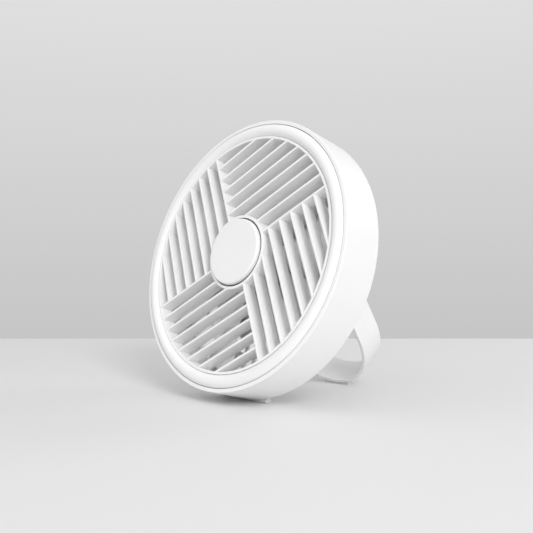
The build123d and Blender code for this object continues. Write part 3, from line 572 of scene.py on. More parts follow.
def pierced_plate(outline, outline_levels, holes=(), hole_levels=()):
    """A plate with holes: every loop is carried down its own levels as a wall, and the first and the last
    level are closed by flat faces between the loops."""
    loops = [outline if signed_area(outline) > 0 else outline[::-1]]
    loops += [hole if signed_area(hole) < 0 else hole[::-1] for hole in holes]
    grids = [loop_levels(loop, level) for loop, level in zip(loops, [outline_levels, *hole_levels])]
    starts = np.cumsum([0] + [grid.shape[0] * grid.shape[1] for grid in grids])[:-1]
    quads = [start + grid_quads(*grid.shape[:2], False, True) for start, grid in zip(starts, grids)]
    front = np.concatenate([start + np.arange(grid.shape[1]) for start, grid in zip(starts, grids)])
    back = np.concatenate(
        [start + grid[:-1, :, 0].size + np.arange(grid.shape[1]) for start, grid in zip(starts, grids)]
    )
    triangles = [
        front[filled([grid[0, :, :2] for grid in grids])],
        back[filled([grid[-1, :, :2] for grid in grids])[:, ::-1]],
    ]
    points = np.concatenate([grid.reshape(-1, 3) for grid in grids])
    return Surface(points, np.concatenate(quads), np.concatenate(triangles)).facing_out()


def lofted(upper, lower):
    """A solid between two grids of points of one size, closed along all four sides of the grids."""
    rows, columns = upper.shape[:2]
    around = 2 * columns
    points = np.concatenate([upper, lower[:, ::-1]], 1).reshape(-1, 3)
    near = np.arange(columns - 1)
    start = np.stack([near, near + 1, around - near - 2, around - near - 1], -1)
    end = (rows - 1) * around + start[:, ::-1]
    return Surface(points, np.concatenate([grid_quads(rows, around, False, True), start, end])).facing_out()


def block(outline, front, back, radius):
    """An outline extruded between two heights, with rounded edges at both ends."""
    return pierced_plate(outline, edge_levels(front, back, radius))


def feed(tree, socket, value):
    """Gives a socket a plain value, or links it to another socket."""
    if isinstance(value, (int, float, tuple)):
        socket.default_value = value
    else:
        tree.links.new(value, socket)


def math_node(tree, operation, first, second):
    """One calculation with two sockets or numbers."""
    node = tree.nodes.new("ShaderNodeMath")
    node.operation = operation
    feed(tree, node.inputs[0], first)
    feed(tree, node.inputs[1], second)
    return node.outputs[0]


def noise_node(tree, coordinates, scale, detail):
    """A noise texture on given coordinates."""
    node = tree.nodes.new("ShaderNodeTexNoise")
    node.inputs["Detail"].default_value = detail
    feed(tree, node.inputs["Vector"], coordinates)
    feed(tree, node.inputs["Scale"], scale)
    return node.outputs["Fac"]


def mix_colours(tree, factor, first, second):
    """A blend of two colours by a factor."""
    node = tree.nodes.new("ShaderNodeMix")
    node.data_type = "RGBA"
    feed(tree, node.inputs["Factor"], factor)
    feed(tree, node.inputs[MIX_FIRST], first)
    feed(tree, node.inputs[MIX_SECOND], second)
    return node.outputs[MIX_RESULT]


def weighed(tree, leading, other):
    """The mean of two noises, in which the leading one counts for more."""
    part = math_node(tree, "MULTIPLY", leading, LEADING_SHARE)
    return math_node(tree, "ADD", part, math_node(tree, "MULTIPLY", other, 1 - LEADING_SHARE))


def toned(tree, main, other, reach):
    """A noise that another makes stronger or weaker: main (plain tone + reach other)."""
    strength = math_node(tree, "ADD", math_node(tree, "MULTIPLY", other, reach), PLAIN_TONE)
    return math_node(tree, "MULTIPLY", main, strength)


def open_skin(name, own_inputs, gloss_spread):
    """A new shader node group for a finish: the group, its input sockets and its Object coordinates. Every
    group takes a colour, a darker shade and a roughness, and has inputs of its own."""
    group = bpy.data.node_groups.new(name, "ShaderNodeTree")
    for socket, kind in (("Colour", "Color"), ("Shade", "Color"), ("Roughness", "Float")):
        group.interface.new_socket(socket, in_out="INPUT", socket_type=f"NodeSocket{kind}")
    for socket, kind, default in [("Gloss Spread", "Float", gloss_spread), *own_inputs]:
        made = group.interface.new_socket(socket, in_out="INPUT", socket_type=f"NodeSocket{kind}")
        made.default_value = default
    for socket, kind in (("Colour", "Color"), ("Roughness", "Float"), ("Height", "Float")):
        group.interface.new_socket(socket, in_out="OUTPUT", socket_type=f"NodeSocket{kind}")
    given = group.nodes.new("NodeGroupInput").outputs
    return group, given, group.nodes.new("ShaderNodeTexCoord").outputs["Object"]


def close_skin(group, given, tint, uneven, height):
    """Joins up a group's outputs: its tint, its height, and the roughness + (uneven - 1/2) spread."""
    made = group.nodes.new("NodeGroupOutput").inputs
    off_middle = math_node(group, "SUBTRACT", uneven, 0.5)
    spread = math_node(group, "MULTIPLY", off_middle, given["Gloss Spread"])
    feed(group, made["Colour"], tint)
    feed(group, made["Roughness"], math_node(group, "ADD", given["Roughness"], spread))
    feed(group, made["Height"], height)
    return group


def moulded_skin(name):
    """Moulded plastic: broad faint tone patches, a fine eroded grain and uneven gloss, and painted shade: a
    near-black colour mixed in by the attribute "recess", where a piece has it, to darken gaps and the backs of
    louvres where shade falls."""
    own_inputs = [
        ("Patch Scale", "Float", 45.0),
        ("Grain Scale", "Float", 3500.0),
        # Near-black colour of the painted shade in gaps and deep inside the fan
        ("Grime", "Color", (0.03, 0.03, 0.031, 1.0)),
    ]
    group, given, place = open_skin(name, own_inputs, gloss_spread=0.08)
    recess = group.nodes.new("ShaderNodeAttribute")
    recess.attribute_name = "recess"
    patch = noise_node(group, place, given["Patch Scale"], detail=3.0)
    grain = noise_node(group, place, given["Grain Scale"], detail=2.0)
    without_painted_shade = mix_colours(group, toned(group, patch, grain, GRAIN_REACH), given["Shade"], given["Colour"])
    # Painted shade: mixes the near-black colour in by each point's "recess" weight
    tint = mix_colours(group, recess.outputs["Fac"], without_painted_shade, given["Grime"])
    return close_skin(group, given, tint, weighed(group, patch, grain), grain)


def drawn_metal(name):
    """Plated or rolled metal: streaks that run one way, with dull and bright patches."""
    own_inputs = [("Streak", "Vector", (400.0, 6000.0, 400.0))]
    group, given, place = open_skin(name, own_inputs, gloss_spread=0.2)
    stretched = group.nodes.new("ShaderNodeMapping")
    feed(group, stretched.inputs["Vector"], place)
    feed(group, stretched.inputs["Scale"], given["Streak"])
    streak = noise_node(group, stretched.outputs["Vector"], scale=1.0, detail=4.0)
    patch = noise_node(group, place, scale=180.0, detail=2.0)
    tone = weighed(group, streak, patch)
    tint = mix_colours(group, tone, given["Shade"], given["Colour"])
    return close_skin(group, given, tint, tone, streak)


def open_cells(name):
    """Foam and rubber: small rounded cells with dark gaps between them."""
    own_inputs = [("Cell Scale", "Float", 2500.0)]
    group, given, place = open_skin(name, own_inputs, gloss_spread=0.1)
    cells = group.nodes.new("ShaderNodeTexVoronoi")
    feed(group, cells.inputs["Vector"], place)
    feed(group, cells.inputs["Scale"], given["Cell Scale"])
    wall = math_node(group, "SUBTRACT", 1.0, cells.outputs["Distance"])
    cloud = noise_node(group, place, scale=120.0, detail=3.0)
    tint = mix_colours(group, toned(group, wall, cloud, CLOUD_REACH), given["Shade"], given["Colour"])
    return close_skin(group, given, tint, cloud, wall)


def shaded(plain, depth):
    """A colour made darker by a share of itself, as four numbers."""
    return tuple(channel * (1 - depth) for channel in plain) + (1.0,)


def layered_material(name, skin, plain, tone, own_values, relief, constants):
    """A Principled material whose colour, roughness and relief come from one of the groups, which is built
    once under its function's name. What is the same all over is set on the shader itself."""
    material = bpy.data.materials.new(name)
    material.use_nodes = True
    tree = material.node_tree
    shader = tree.nodes["Principled BSDF"].inputs
    layer = tree.nodes.new("ShaderNodeGroup")
    layer.node_tree = bpy.data.node_groups.get(skin.__name__) or skin(skin.__name__)
    values = {"Colour": shaded(plain, 0.0), "Shade": shaded(plain, tone), **own_values}
    for socket, value in values.items():
        layer.inputs[socket].default_value = value
    bump = tree.nodes.new("ShaderNodeBump")
    bump.inputs["Strength"].default_value = relief[0]
    bump.inputs["Distance"].default_value = relief[1]
    tree.links.new(layer.outputs["Height"], bump.inputs["Height"])
    tree.links.new(bump.outputs["Normal"], shader["Normal"])
    tree.links.new(layer.outputs["Colour"], shader["Base Color"])
    tree.links.new(layer.outputs["Roughness"], shader["Roughness"])
    for socket, value in constants.items():
        shader[socket].default_value = value
    return material


def plastic(name, plain, roughness, grain_scale, relief, tone=0.03, coat=0.0):
    """A moulded plastic of one colour."""
    own = {"Roughness": roughness, "Grain Scale": grain_scale}
    constants = {"Coat Weight": coat}
    return layered_material(name, moulded_skin, plain, tone, own, (relief, GRAIN_DEPTH), constants)


def metal(name, plain, roughness, streak, tone=0.25):
    """A bare or plated metal of one colour."""
    own = {"Roughness": roughness, "Streak": streak}
    relief = (STREAK_RELIEF, STREAK_DEPTH)
    return layered_material(name, drawn_metal, plain, tone, own, relief, {"Metallic": 1.0})


def cellular(name, plain, roughness, cell_scale, relief, tone):
    """A rubber or foam of one colour."""
    own = {"Roughness": roughness, "Cell Scale": cell_scale}
    constants = {"Specular IOR Level": CELL_SPECULAR}
    return layered_material(name, open_cells, plain, tone, own, (relief, CELL_DEPTH), constants)


def finish(slot):
    """The material of one of the record's slots, made once under a name of its own. Each line gives a colour,
    a roughness, the scale of its grain, streaks or cells and, but for metals, the strength of its relief."""
    name = f"fan_{slot}"
    if name in bpy.data.materials:
        return bpy.data.materials[name]
    tints = bpy.context.scene.fan_colours
    makers = {
        "housing_white": lambda: plastic(name, tints.shell, 0.42, 4200.0, 0.22),
        "ring_white": lambda: plastic(name, tints.ring, 0.42, 5200.0, 0.08),
        "grille_white": lambda: plastic(name, tints.grille, 0.4, 5200.0, 0.1),
        "cap_white": lambda: plastic(name, tints.cap, 0.46, 4600.0, 0.12),
        "rotor_white": lambda: plastic(name, tints.rotor, 0.38, 5200.0, 0.08),
        "stand_white": lambda: plastic(name, tints.stand, 0.42, 4200.0, 0.2),
        "pin_white": lambda: plastic(name, tints.stand, 0.38, 4200.0, 0.12),
        "button_grey": lambda: plastic(name, tints.button, 0.5, 3200.0, 0.25),
        "light_lens": lambda: plastic(name, tints.lens, 0.22, 2600.0, 0.05, coat=0.5),
        "motor_plastic": lambda: plastic(name, (0.035, 0.035, 0.037), 0.5, 3000.0, 0.3, tone=0.3),
        "washer_nylon": lambda: plastic(name, (0.69, 0.69, 0.6), 0.4, 3000.0, 0.15),
        "cell_sleeve": lambda: plastic(name, (0.03, 0.13, 0.33), 0.28, 2200.0, 0.2, tone=0.2, coat=0.4),
        "board_green": lambda: plastic(name, (0.01, 0.07, 0.025), 0.35, 900.0, 0.5, tone=0.6, coat=0.6),
        "switch_black": lambda: plastic(name, (0.012, 0.012, 0.012), 0.45, 3600.0, 0.25, tone=0.3),
        "steel": lambda: metal(name, (0.6, 0.6, 0.62), 0.3, (500.0, 500.0, 9000.0)),
        "magnet": lambda: metal(name, (0.09, 0.09, 0.1), 0.55, (2500.0, 2500.0, 2500.0), tone=0.5),
        "core_steel": lambda: metal(name, (0.27, 0.27, 0.29), 0.45, (300.0, 7000.0, 1800.0), tone=0.5),
        "copper": lambda: metal(name, (0.72, 0.3, 0.12), 0.32, (900.0, 9000.0, 2400.0), tone=0.5),
        "socket_metal": lambda: metal(name, (0.68, 0.68, 0.7), 0.22, (600.0, 600.0, 6000.0)),
        "foot_rubber": lambda: cellular(name, tints.foot, 0.72, 3800.0, 0.3, tone=0.12),
        "foam": lambda: cellular(name, (0.05, 0.05, 0.05), 0.9, 1600.0, 0.9, tone=0.6),
    }
    return makers[slot]()


def add_piece(name, parts, body, *nodes, recess=None):
    """One finished piece at the origin, which rides on a body and stands for the named nodes. A function of the
    distance from the fan's axis and the height over the seams may give each point a weight of painted shade, kept
    as the attribute "recess", that darkens gaps and deep parts where shade falls."""
    surface = joined(parts)
    mesh = bpy.data.meshes.new(name)
    mesh.from_pydata(surface.points.tolist(), [], surface.quads.tolist() + surface.triangles.tolist())
    if mesh.validate():
        raise RuntimeError(f"{name} has faces that do not fit together")
    # Weights of painted shade, read by the moulded plastic's group
    if recess is not None:
        local = (surface.points - fan_centre) @ fan_axes.T
        depth = recess(np.hypot(local[:, 0], local[:, 1]), local[:, 2])
        mesh.attributes.new("recess", "FLOAT", "POINT").data.foreach_set("value", depth.astype(np.float32))
    mesh.shade_smooth()
    mesh.set_sharp_from_angle(angle=SHARP_ANGLE)
    slot = node_slots[nodes[0]]
    mesh.materials.append(finish(slot))
    piece = bpy.data.objects.new(name, mesh)
    bpy.context.scene.collection.objects.link(piece)
    even = piece.modifiers.new("even_normals", "WEIGHTED_NORMAL")
    even.keep_sharp = True
    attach(piece, body)
    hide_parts(*nodes)


def deepening(height, start, end):
    """A smooth step from 0 at one height to 1 at another: 3 t^2 - 2 t^3."""
    t = np.clip((height - start) / (end - start), 0.0, 1.0)
    return t * t * (3 - 2 * t)


def grille_radius(sizes):
    """Outside of the grille's rim, the trim ring's width and one seam in from the ring's outside."""
    return sizes.ring_radius - sizes.ring_width - sizes.rim_gap


class FAN_OT_barrel(bpy.types.Operator):
    """Build the housing barrel with its ledge and air duct"""

    bl_idname = "fan.barrel"
    bl_label = "Barrel"

    def execute(self, context):
        sizes = context.scene.fan_front
        inner = sizes.housing_radius - sizes.lip_width
        duct_inner = grille_radius(sizes) + sizes.duct_gap
        duct_outer = duct_inner + sizes.duct_wall
        ledge_back = sizes.ledge_depth + sizes.ledge_thickness
        duct_end = sizes.housing_depth - sizes.duct_setback
        corners = [
            (sizes.housing_radius, 0.0),
            (sizes.housing_radius, -sizes.housing_depth),
            (inner, -sizes.housing_depth),
            (inner, -ledge_back),
            (duct_outer, -ledge_back),
            (duct_outer, -duct_end),
            (duct_inner, -duct_end),
            (duct_inner, -sizes.ledge_depth),
            (inner, -sizes.ledge_depth),
            (inner, 0.0),
        ]
        small = sizes.seam_gap / 2
        radii = [sizes.lip_round, sizes.rear_round] + [small] * (len(corners) - 2)
        barrel = turned(rounded(corners, radii, FINE_ROUND_STEPS)).placed(fan_place())

        # Painted shade: the ledge and the air duct darken with depth behind the seams, standing for the shade
        # inside the barrel
        def recess(radius, height):
            depth = deepening(height, -small, -sizes.grille_depth)
            return sizes.duct_grime * (radius < inner - small) * depth

        add_piece("barrel", [barrel], "body", "housing_barrel", recess=recess)
        return {"FINISHED"}


class FAN_OT_trim_ring(bpy.types.Operator):
    """Build the crowned trim ring between the two seams"""

    bl_idname = "fan.trim_ring"
    bl_label = "Trim ring"

    def execute(self, context):
        sizes = context.scene.fan_front
        outer = sizes.ring_radius
        inner = outer - sizes.ring_width
        rise = sizes.ring_crown + sizes.ring_edge_drop
        radius = (rise + (sizes.ring_width / 2) ** 2 / rise) / 2
        spread = atan2(sizes.ring_width / 2, radius - rise)
        centre = ((outer + inner) / 2, sizes.ring_crown - radius)
        crown = arc(centre, radius, pi / 2 - spread, pi / 2 + spread, CROWN_STEP)
        flange_edge = grille_radius(sizes) + sizes.flange_width + sizes.seam_gap
        flange_front = sizes.ledge_depth - sizes.flange_thickness
        skirt = [
            (inner, -flange_front),
            (flange_edge, -flange_front),
            (flange_edge, -sizes.ledge_depth),
            (outer, -sizes.ledge_depth),
        ]
        ring = turned(np.concatenate([crown, skirt])).placed(fan_place())
        add_piece("trim_ring", [ring], "body", "front_ring")
        return {"FINISHED"}


def louvre_opening(sizes, row):
    """One gap between louvres, in its field's own frame: two straight sides along x, the rim's circle at the
    far end, and at the near end the collar's circle or the next field's first louvre along x = 0."""
    rim = grille_radius(sizes) - sizes.rim_wall
    collar = sizes.collar_radius
    low = sizes.louvre_pitch * row + sizes.louvre_thickness
    high = min(sizes.louvre_pitch * (row + 1), rim) if row + 1 < sizes.louvre_count else rim
    parts = [arc((0.0, 0.0), rim, np.arcsin(low / rim), np.arcsin(high / rim))]
    if collar < high < rim:
        parts.append([(0.0, high)])
    if low < collar:
        top = np.arcsin(min(high / collar, 1.0))
        parts.append(arc((0.0, 0.0), collar, top, np.arcsin(low / collar), COLLAR_STEP))
    else:
        parts.append([(0.0, low)])
    return distinct(np.concatenate(parts))


class FAN_OT_grille(bpy.types.Operator):
    """Build the pinwheel of upright louvres with its rim, flange and collar"""

    bl_idname = "fan.grille"
    bl_label = "Louvre grille"

    def execute(self, context):
        sizes = context.scene.fan_front
        outer = grille_radius(sizes)
        seat = sizes.cap_radius + sizes.cap_gap
        recess_edge = seat + sizes.edge_round
        holes = [circle(seat, MIDDLE_TURN_STEPS)]
        for field in range(sizes.field_count):
            turn = sizes.louvre_turn + tau / sizes.field_count * field
            axes = np.array([(cos(turn), sin(turn)), (-sin(turn), cos(turn))])
            holes += [louvre_opening(sizes, row) @ axes for row in range(sizes.louvre_count)]
        levels = edge_levels(sizes.grille_proud, -sizes.grille_depth, sizes.edge_round, EDGE_STEPS)
        half = len(levels) // 2
        gap_levels = [(sizes.gap_light, 0.0), (sizes.gap_dark, 0.0)]
        seat_levels = np.concatenate([levels[: half - 1], gap_levels, levels[half:]])
        hole_levels = [seat_levels] + [levels] * (len(holes) - 1)
        louvres = pierced_plate(circle(outer, TURN_STEPS), levels, holes, hole_levels)
        flange = square_ring(
            outer - sizes.rim_wall / 2,
            outer + sizes.flange_width,
            sizes.flange_thickness - sizes.ledge_depth,
            -sizes.ledge_depth,
            sizes.edge_round,
        )
        floor = square_ring(
            sizes.cap_plug,
            (seat + sizes.collar_radius) / 2,
            -sizes.cap_seat,
            -sizes.cap_seat - sizes.collar_floor,
            sizes.edge_round,
            MIDDLE_TURN_STEPS,
        )
        parts = [part.placed(fan_place()) for part in (louvres, flange, floor)]

        # Painted shade: the louvres darken towards their rear edges, and the gap round the cap goes dark below its
        # light edge, standing for the shade in them
        def recess(radius, height):
            walls = sizes.louvre_grime * deepening(height, 0.0, -sizes.grille_depth)
            gap = sizes.gap_grime * deepening(height, sizes.gap_light, sizes.gap_dark)
            return np.where(radius < recess_edge, gap, walls)

        add_piece("louvre_grille", parts, "body", "front_grille", recess=recess)
        return {"FINISHED"}


class FAN_OT_cap(bpy.types.Operator):
    """Build the smooth cap in the middle of the grille"""

    bl_idname = "fan.cap"
    bl_label = "Cap"

    def execute(self, context):
        sizes = context.scene.fan_front
        edge = sizes.cap_radius
        plug = sizes.cap_plug - sizes.seam_gap / 4
        seat = -sizes.cap_seat
        back = seat - sizes.collar_floor
        face = [(edge * part, sizes.cap_proud) for part in CAP_RING_SHARES]
        rim = rim_arc(edge, sizes.cap_proud, sizes.cap_round)
        gap = [(edge, sizes.gap_light), (edge, sizes.gap_dark)]
        rear = [(edge, seat), (plug, seat), (plug, back), (0.0, back)]
        cap = turned(np.concatenate([face, rim, gap, rear]), MIDDLE_TURN_STEPS).placed(fan_place())

        # Painted shade: the cap's side darkens down the gap round it, standing for the shade in that gap
        def recess(radius, height):
            return sizes.gap_grime * deepening(height, sizes.gap_light, sizes.gap_dark)

        add_piece("centre_cap", [cap], "body", "hub_cap", recess=recess)
        return {"FINISHED"}


def blade(sizes, rows=30, columns=28):
    """One twisted blade. Its section at radius x has the mean line h = camber c (1 - s^2) and a thickness
    that thins towards its edges, for s from almost -1 to 1 along the chord, and is turned by the pitch.
    Chord and pitch are parabolas in x. Each point's x is found from x^2 + y^2 = r^2, so the tip follows the
    duct."""
    s = -CHORD_SHARE * np.cos(np.linspace(0, pi, columns + 1))
    stations = (sizes.root_radius, (sizes.root_radius + sizes.tip_radius) / 2, sizes.tip_radius)
    chord_of = np.polyfit(stations, (sizes.root_chord, sizes.mid_chord, sizes.tip_chord), 2)
    pitch_of = np.polyfit(stations, (sizes.root_pitch, sizes.mid_pitch, sizes.tip_pitch), 2)
    inner = sizes.thickness - sizes.edge_thickness
    half = (sizes.edge_thickness + inner * (1 - s**2)) / 2 * np.sqrt(1 - np.abs(s) ** EDGE_POWER)
    radius = np.linspace(sizes.root_radius, sizes.tip_radius, rows)[:, None]
    middle = (sizes.front_depth + sizes.rear_depth) / 2

    def face(offset):
        x = np.broadcast_to(radius, (rows, len(s)))
        for _ in range(TIP_PASSES):
            chord = np.polyval(chord_of, x)
            pitch = np.polyval(pitch_of, x)
            across = chord / 2 * s
            rise = sizes.camber * chord * (1 - s**2) + offset
            y = across * np.cos(pitch) - rise * np.sin(pitch)
            x = np.sqrt(np.maximum(radius**2 - y**2, (radius / 2) ** 2))
        return np.stack([x, y, across * np.sin(pitch) + rise * np.cos(pitch) - middle], -1)

    return lofted(face(half), face(-half))


class FAN_OT_rotor(bpy.types.Operator):
    """Build the rotor: a rounded hub cup with twisted blades"""

    bl_idname = "fan.rotor"
    bl_label = "Rotor"

    def execute(self, context):
        sizes = context.scene.fan_rotor
        front = -sizes.front_depth
        back = -sizes.rear_depth
        edge = sizes.hub_radius
        inner = edge - sizes.hub_wall
        face = [(0.0, front), (edge * HUB_RING_SHARE, front)]
        rim = rim_arc(edge, front, sizes.hub_round, HUB_STEP)
        cup = [(edge, back), (inner, back), (inner, front - sizes.hub_wall), (0.0, front - sizes.hub_wall)]
        hub = turned(np.concatenate([face, rim, cup]), MIDDLE_TURN_STEPS)
        single = blade(sizes)
        turns = tau * np.arange(sizes.blade_count) / sizes.blade_count
        spins = [np.array([(cos(a), sin(a), 0), (-sin(a), cos(a), 0), (0, 0, 1)]) for a in turns]
        blades = [single.placed(lambda points, spin=spin: points @ spin) for spin in spins]
        parts = [part.placed(fan_place()) for part in [hub, *blades]]

        # Painted shade: the hub and blades darken from front to back, standing for the shade deep in the duct
        def recess(radius, height):
            return sizes.grime * deepening(height, front, back)

        add_piece("blade_rotor", parts, "rotor", "fan_rotor", recess=recess)
        return {"FINISHED"}


def intake_slot(sizes, inner, outer, turn):
    """One intake slot between two radii, with straight ribs of one width left on both sides of it."""
    half_pitch = pi / sizes.slot_count
    near = half_pitch - np.arcsin(sizes.rib_width / 2 / inner)
    far = half_pitch - np.arcsin(sizes.rib_width / 2 / outer)
    polar = [(inner, -near), (outer, -far), (outer, far), (inner, near)]
    corners = [(r * cos(turn + a), r * sin(turn + a)) for r, a in polar]
    return rounded(corners, sizes.slot_round)


class FAN_OT_rear_cover(bpy.types.Operator):
    """Build the rear cover with its two rows of intake slots"""

    bl_idname = "fan.rear_cover"
    bl_label = "Rear cover"

    def execute(self, context):
        sizes = context.scene.fan_rear
        depth = context.scene.fan_front.housing_depth
        front = sizes.cover_thickness - depth
        outer = sizes.cover_radius
        rows = [
            (sizes.slot_inner, sizes.band_radius - sizes.band_width / 2),
            (sizes.band_radius + sizes.band_width / 2, sizes.slot_outer),
        ]
        turns = tau * np.arange(sizes.slot_count) / sizes.slot_count
        slots = [intake_slot(sizes, *row, turn) for row in rows for turn in turns]
        levels = edge_levels(front, -depth, sizes.edge_round, EDGE_STEPS)
        plate = pierced_plate(circle(outer, TURN_STEPS), levels, slots, [levels] * len(slots))
        skirt = square_ring(
            outer - sizes.skirt_wall,
            outer,
            front + sizes.skirt_length,
            front - sizes.edge_round,
            sizes.edge_round,
        )
        parts = [part.placed(fan_place()) for part in (plate, skirt)]
        add_piece("intake_cover", parts, "body", "rear_cover")
        return {"FINISHED"}


def screw(sizes):
    """A screw that faces forwards: a domed head with a cross recess, and its shank up to the recess floor.
    The cross is one arm's end and inner corner, turned a quarter four times."""
    height = sizes.screw_head_height
    arm = sizes.screw_head_radius * CROSS_ARM_SHARE
    half = sizes.screw_head_radius * CROSS_HALF_SHARE
    quarter = np.array([(0, 1), (-1, 0)])
    arm_end = np.array([(arm, -half), (arm, half), (half, half)])
    cross = np.concatenate([arm_end @ np.linalg.matrix_power(quarter, turn) for turn in range(4)])
    crown = edge_levels(height, 0.0, height * DOME_SHARE, FINE_ROUND_STEPS)
    crown[FINE_ROUND_STEPS + 1 :, 1] = 0.0
    recess = edge_levels(height, 0.0, sizes.screw_head_radius * CROSS_ROUND_SHARE, CROSS_STEPS)
    head = pierced_plate(circle(sizes.screw_head_radius, TINY_TURN_STEPS), crown, [cross], [recess])
    floor = height * CROSS_FLOOR_SHARE
    tail = -height * SHANK_SHARE
    core = sizes.screw_head_radius * CORE_SHARE
    inside = [(0.0, floor), (core, floor), (core, floor / 2)]
    below = [(sizes.screw_radius, 0.0), (sizes.screw_radius, tail), (0.0, tail)]
    return joined([head, turned(inside + below, SHANK_TURN_STEPS)])


class FAN_OT_screws(bpy.types.Operator):
    """Build the screws in the rear cover and in the pod's wells"""

    bl_idname = "fan.screws"
    bl_label = "Screws"

    def execute(self, context):
        sizes = context.scene.fan_rear
        single = screw(sizes).placed(seen_from_behind)
        diagonal = sizes.cover_screw_circle / sqrt(2)
        cover_seat = -context.scene.fan_front.housing_depth
        cover = [single.placed(fan_place(x, y, cover_seat)) for x, y in CORNERS * diagonal]
        add_piece("cover_screw_set", cover, "body", "cover_screws")
        places = CORNERS * (sizes.pod_screw_x, sizes.pod_screw_y)
        pod = [single.placed(fan_place(x, y, -sizes.pod_screw_depth)) for x, y in places]
        add_piece("pod_screw_set", pod, "body", "pod_screws")
        return {"FINISHED"}


class FAN_OT_button(bpy.types.Operator):
    """Build the power button and the lenses of the charge lights"""

    bl_idname = "fan.button"
    bl_label = "Button and lights"

    def execute(self, context):
        sizes = context.scene.fan_rear
        place = fan_place(0.0, sizes.button_rise, -sizes.pod_back)
        add_piece("press_button", [self.cap(sizes).placed(place)], "button", "power_button")
        lens = self.lens(sizes)
        steps = (np.arange(sizes.light_count) - (sizes.light_count - 1) / 2) * sizes.light_pitch
        lenses = [lens.placed(fan_place(x, sizes.light_rise, -sizes.pod_back)) for x in steps]
        strip = self.strip(sizes).placed(fan_place(0.0, sizes.light_rise, sizes.pod_wall - sizes.pod_back))
        add_piece("charge_lenses", [*lenses, strip], "body", "charge_lights")
        return {"FINISHED"}

    def cap(self, sizes):
        """The button: a shallow dish, a rounded rim and the flange that holds it in."""
        edge = sizes.button_radius
        top = sizes.button_proud
        face = domed(edge * DISH_SPAN_SHARE, top, -top * DISH_SHARE, DISH_POINTS)
        rim = rim_arc(edge, top, top * BUTTON_ROUND_SHARE)
        flange = edge + sizes.button_flange
        flange_top = -sizes.pod_wall - top * FLANGE_GAP_SHARE
        flange_back = flange_top - sizes.button_flange * FLANGE_THICKNESS_SHARE
        rest = [(edge, flange_top), (flange, flange_top), (flange, flange_back), (0.0, flange_back)]
        return turned(np.concatenate([face, rim, rest]), SMALL_TURN_STEPS).placed(seen_from_behind)

    def lens(self, sizes):
        """One lens: a low dome, sunk a little, on a plug as deep as the pod's wall."""
        radius = sizes.light_radius
        dome = domed(radius, -radius * LENS_SUNK_SHARE, radius * LENS_DOME_SHARE, LENS_POINTS)
        plug = [(radius, -sizes.pod_wall), (0.0, -sizes.pod_wall)]
        return turned(np.concatenate([dome, plug]), LENS_TURN_STEPS).placed(seen_from_behind)

    def strip(self, sizes):
        """The strip inside the pod that joins the lenses."""
        radius = sizes.light_radius
        half_height = radius * STRIP_SHARE
        half_length = (sizes.light_count - 1) * sizes.light_pitch / 2 + half_height
        outline = rounded(CORNERS * (half_length, half_height), radius * STRIP_ROUND_SHARE)
        return block(outline, radius, 0.0, radius * STRIP_EDGE_SHARE)


def strap_reach(sizes):
    """Distance along the strap's lean from the pivots down to the outside of the hoop."""
    return (pivot[2] - sizes.pad_drop - sizes.width / 2 * sin(sizes.lean)) / cos(sizes.lean)


def strap_toe(sizes):
    """How far back the strap's lowest edge lies."""
    return pivot[1] + strap_reach(sizes) * sin(sizes.lean) - sizes.width / 2 * cos(sizes.lean)


def strap_bend(sizes, straight):
    """A function that bends a flat strap (s along it, w across it, t through it) round the hoop, and the
    length of a quarter turn: a half circle of the middle surface's radius, then two straight arms up to the
    pivots and past them."""
    radius = sizes.half_width - sizes.thickness / 2
    quarter = radius * pi / 2
    up = np.array([0.0, -sin(sizes.lean), cos(sizes.lean)])
    across = np.array([0.0, -cos(sizes.lean), -sin(sizes.lean)])

    def bend(points):
        s, w, t = points.T
        turn = np.clip(s, -quarter, quarter) / radius
        x = (radius + t) * np.sin(turn)
        rise = -(radius + t) * np.cos(turn) + np.maximum(np.abs(s) - quarter, 0.0) - straight
        return pivot + x[:, None] * fan_right + rise[:, None] * up + w[:, None] * across

    return bend, quarter


class FAN_OT_stand(bpy.types.Operator):
    """Build the strap stand: a flat strap with round ends and pin holes, bent into a hoop"""

    bl_idname = "fan.stand"
    bl_label = "Stand"

    def execute(self, context):
        sizes = context.scene.fan_stand
        half = sizes.width / 2
        straight = strap_reach(sizes) - sizes.half_width
        bend, quarter = strap_bend(sizes, straight)
        pin = quarter + straight
        hoop_run = np.linspace(-quarter, quarter, HOOP_POINTS)
        arm_run = np.linspace(quarter, pin, ARM_POINTS)[1:]
        run = np.concatenate([-arm_run[::-1], hoop_run, arm_run])
        lower = np.stack([run, np.full(len(run), -half)], -1)
        right_end = arc((pin, 0.0), half, -pi / 2, pi / 2, CROWN_STEP)[1:-1]
        outline = np.concatenate([lower, right_end, -lower, -right_end])
        hole_radius = sizes.pin_radius + sizes.pin_hole_gap
        holes = [circle(hole_radius, TINY_TURN_STEPS, (side * pin, 0.0)) for side in (1, -1)]
        faces = (sizes.thickness / 2, -sizes.thickness / 2)
        levels = edge_levels(*faces, sizes.edge_round)
        hole_levels = edge_levels(*faces, sizes.pin_hole_gap * 2, PIN_HOLE_STEPS)
        strap = pierced_plate(outline, levels, holes, [hole_levels] * 2).placed(bend).facing_out()
        add_piece("strap_stand", [strap], "stand", "stand")
        return {"FINISHED"}


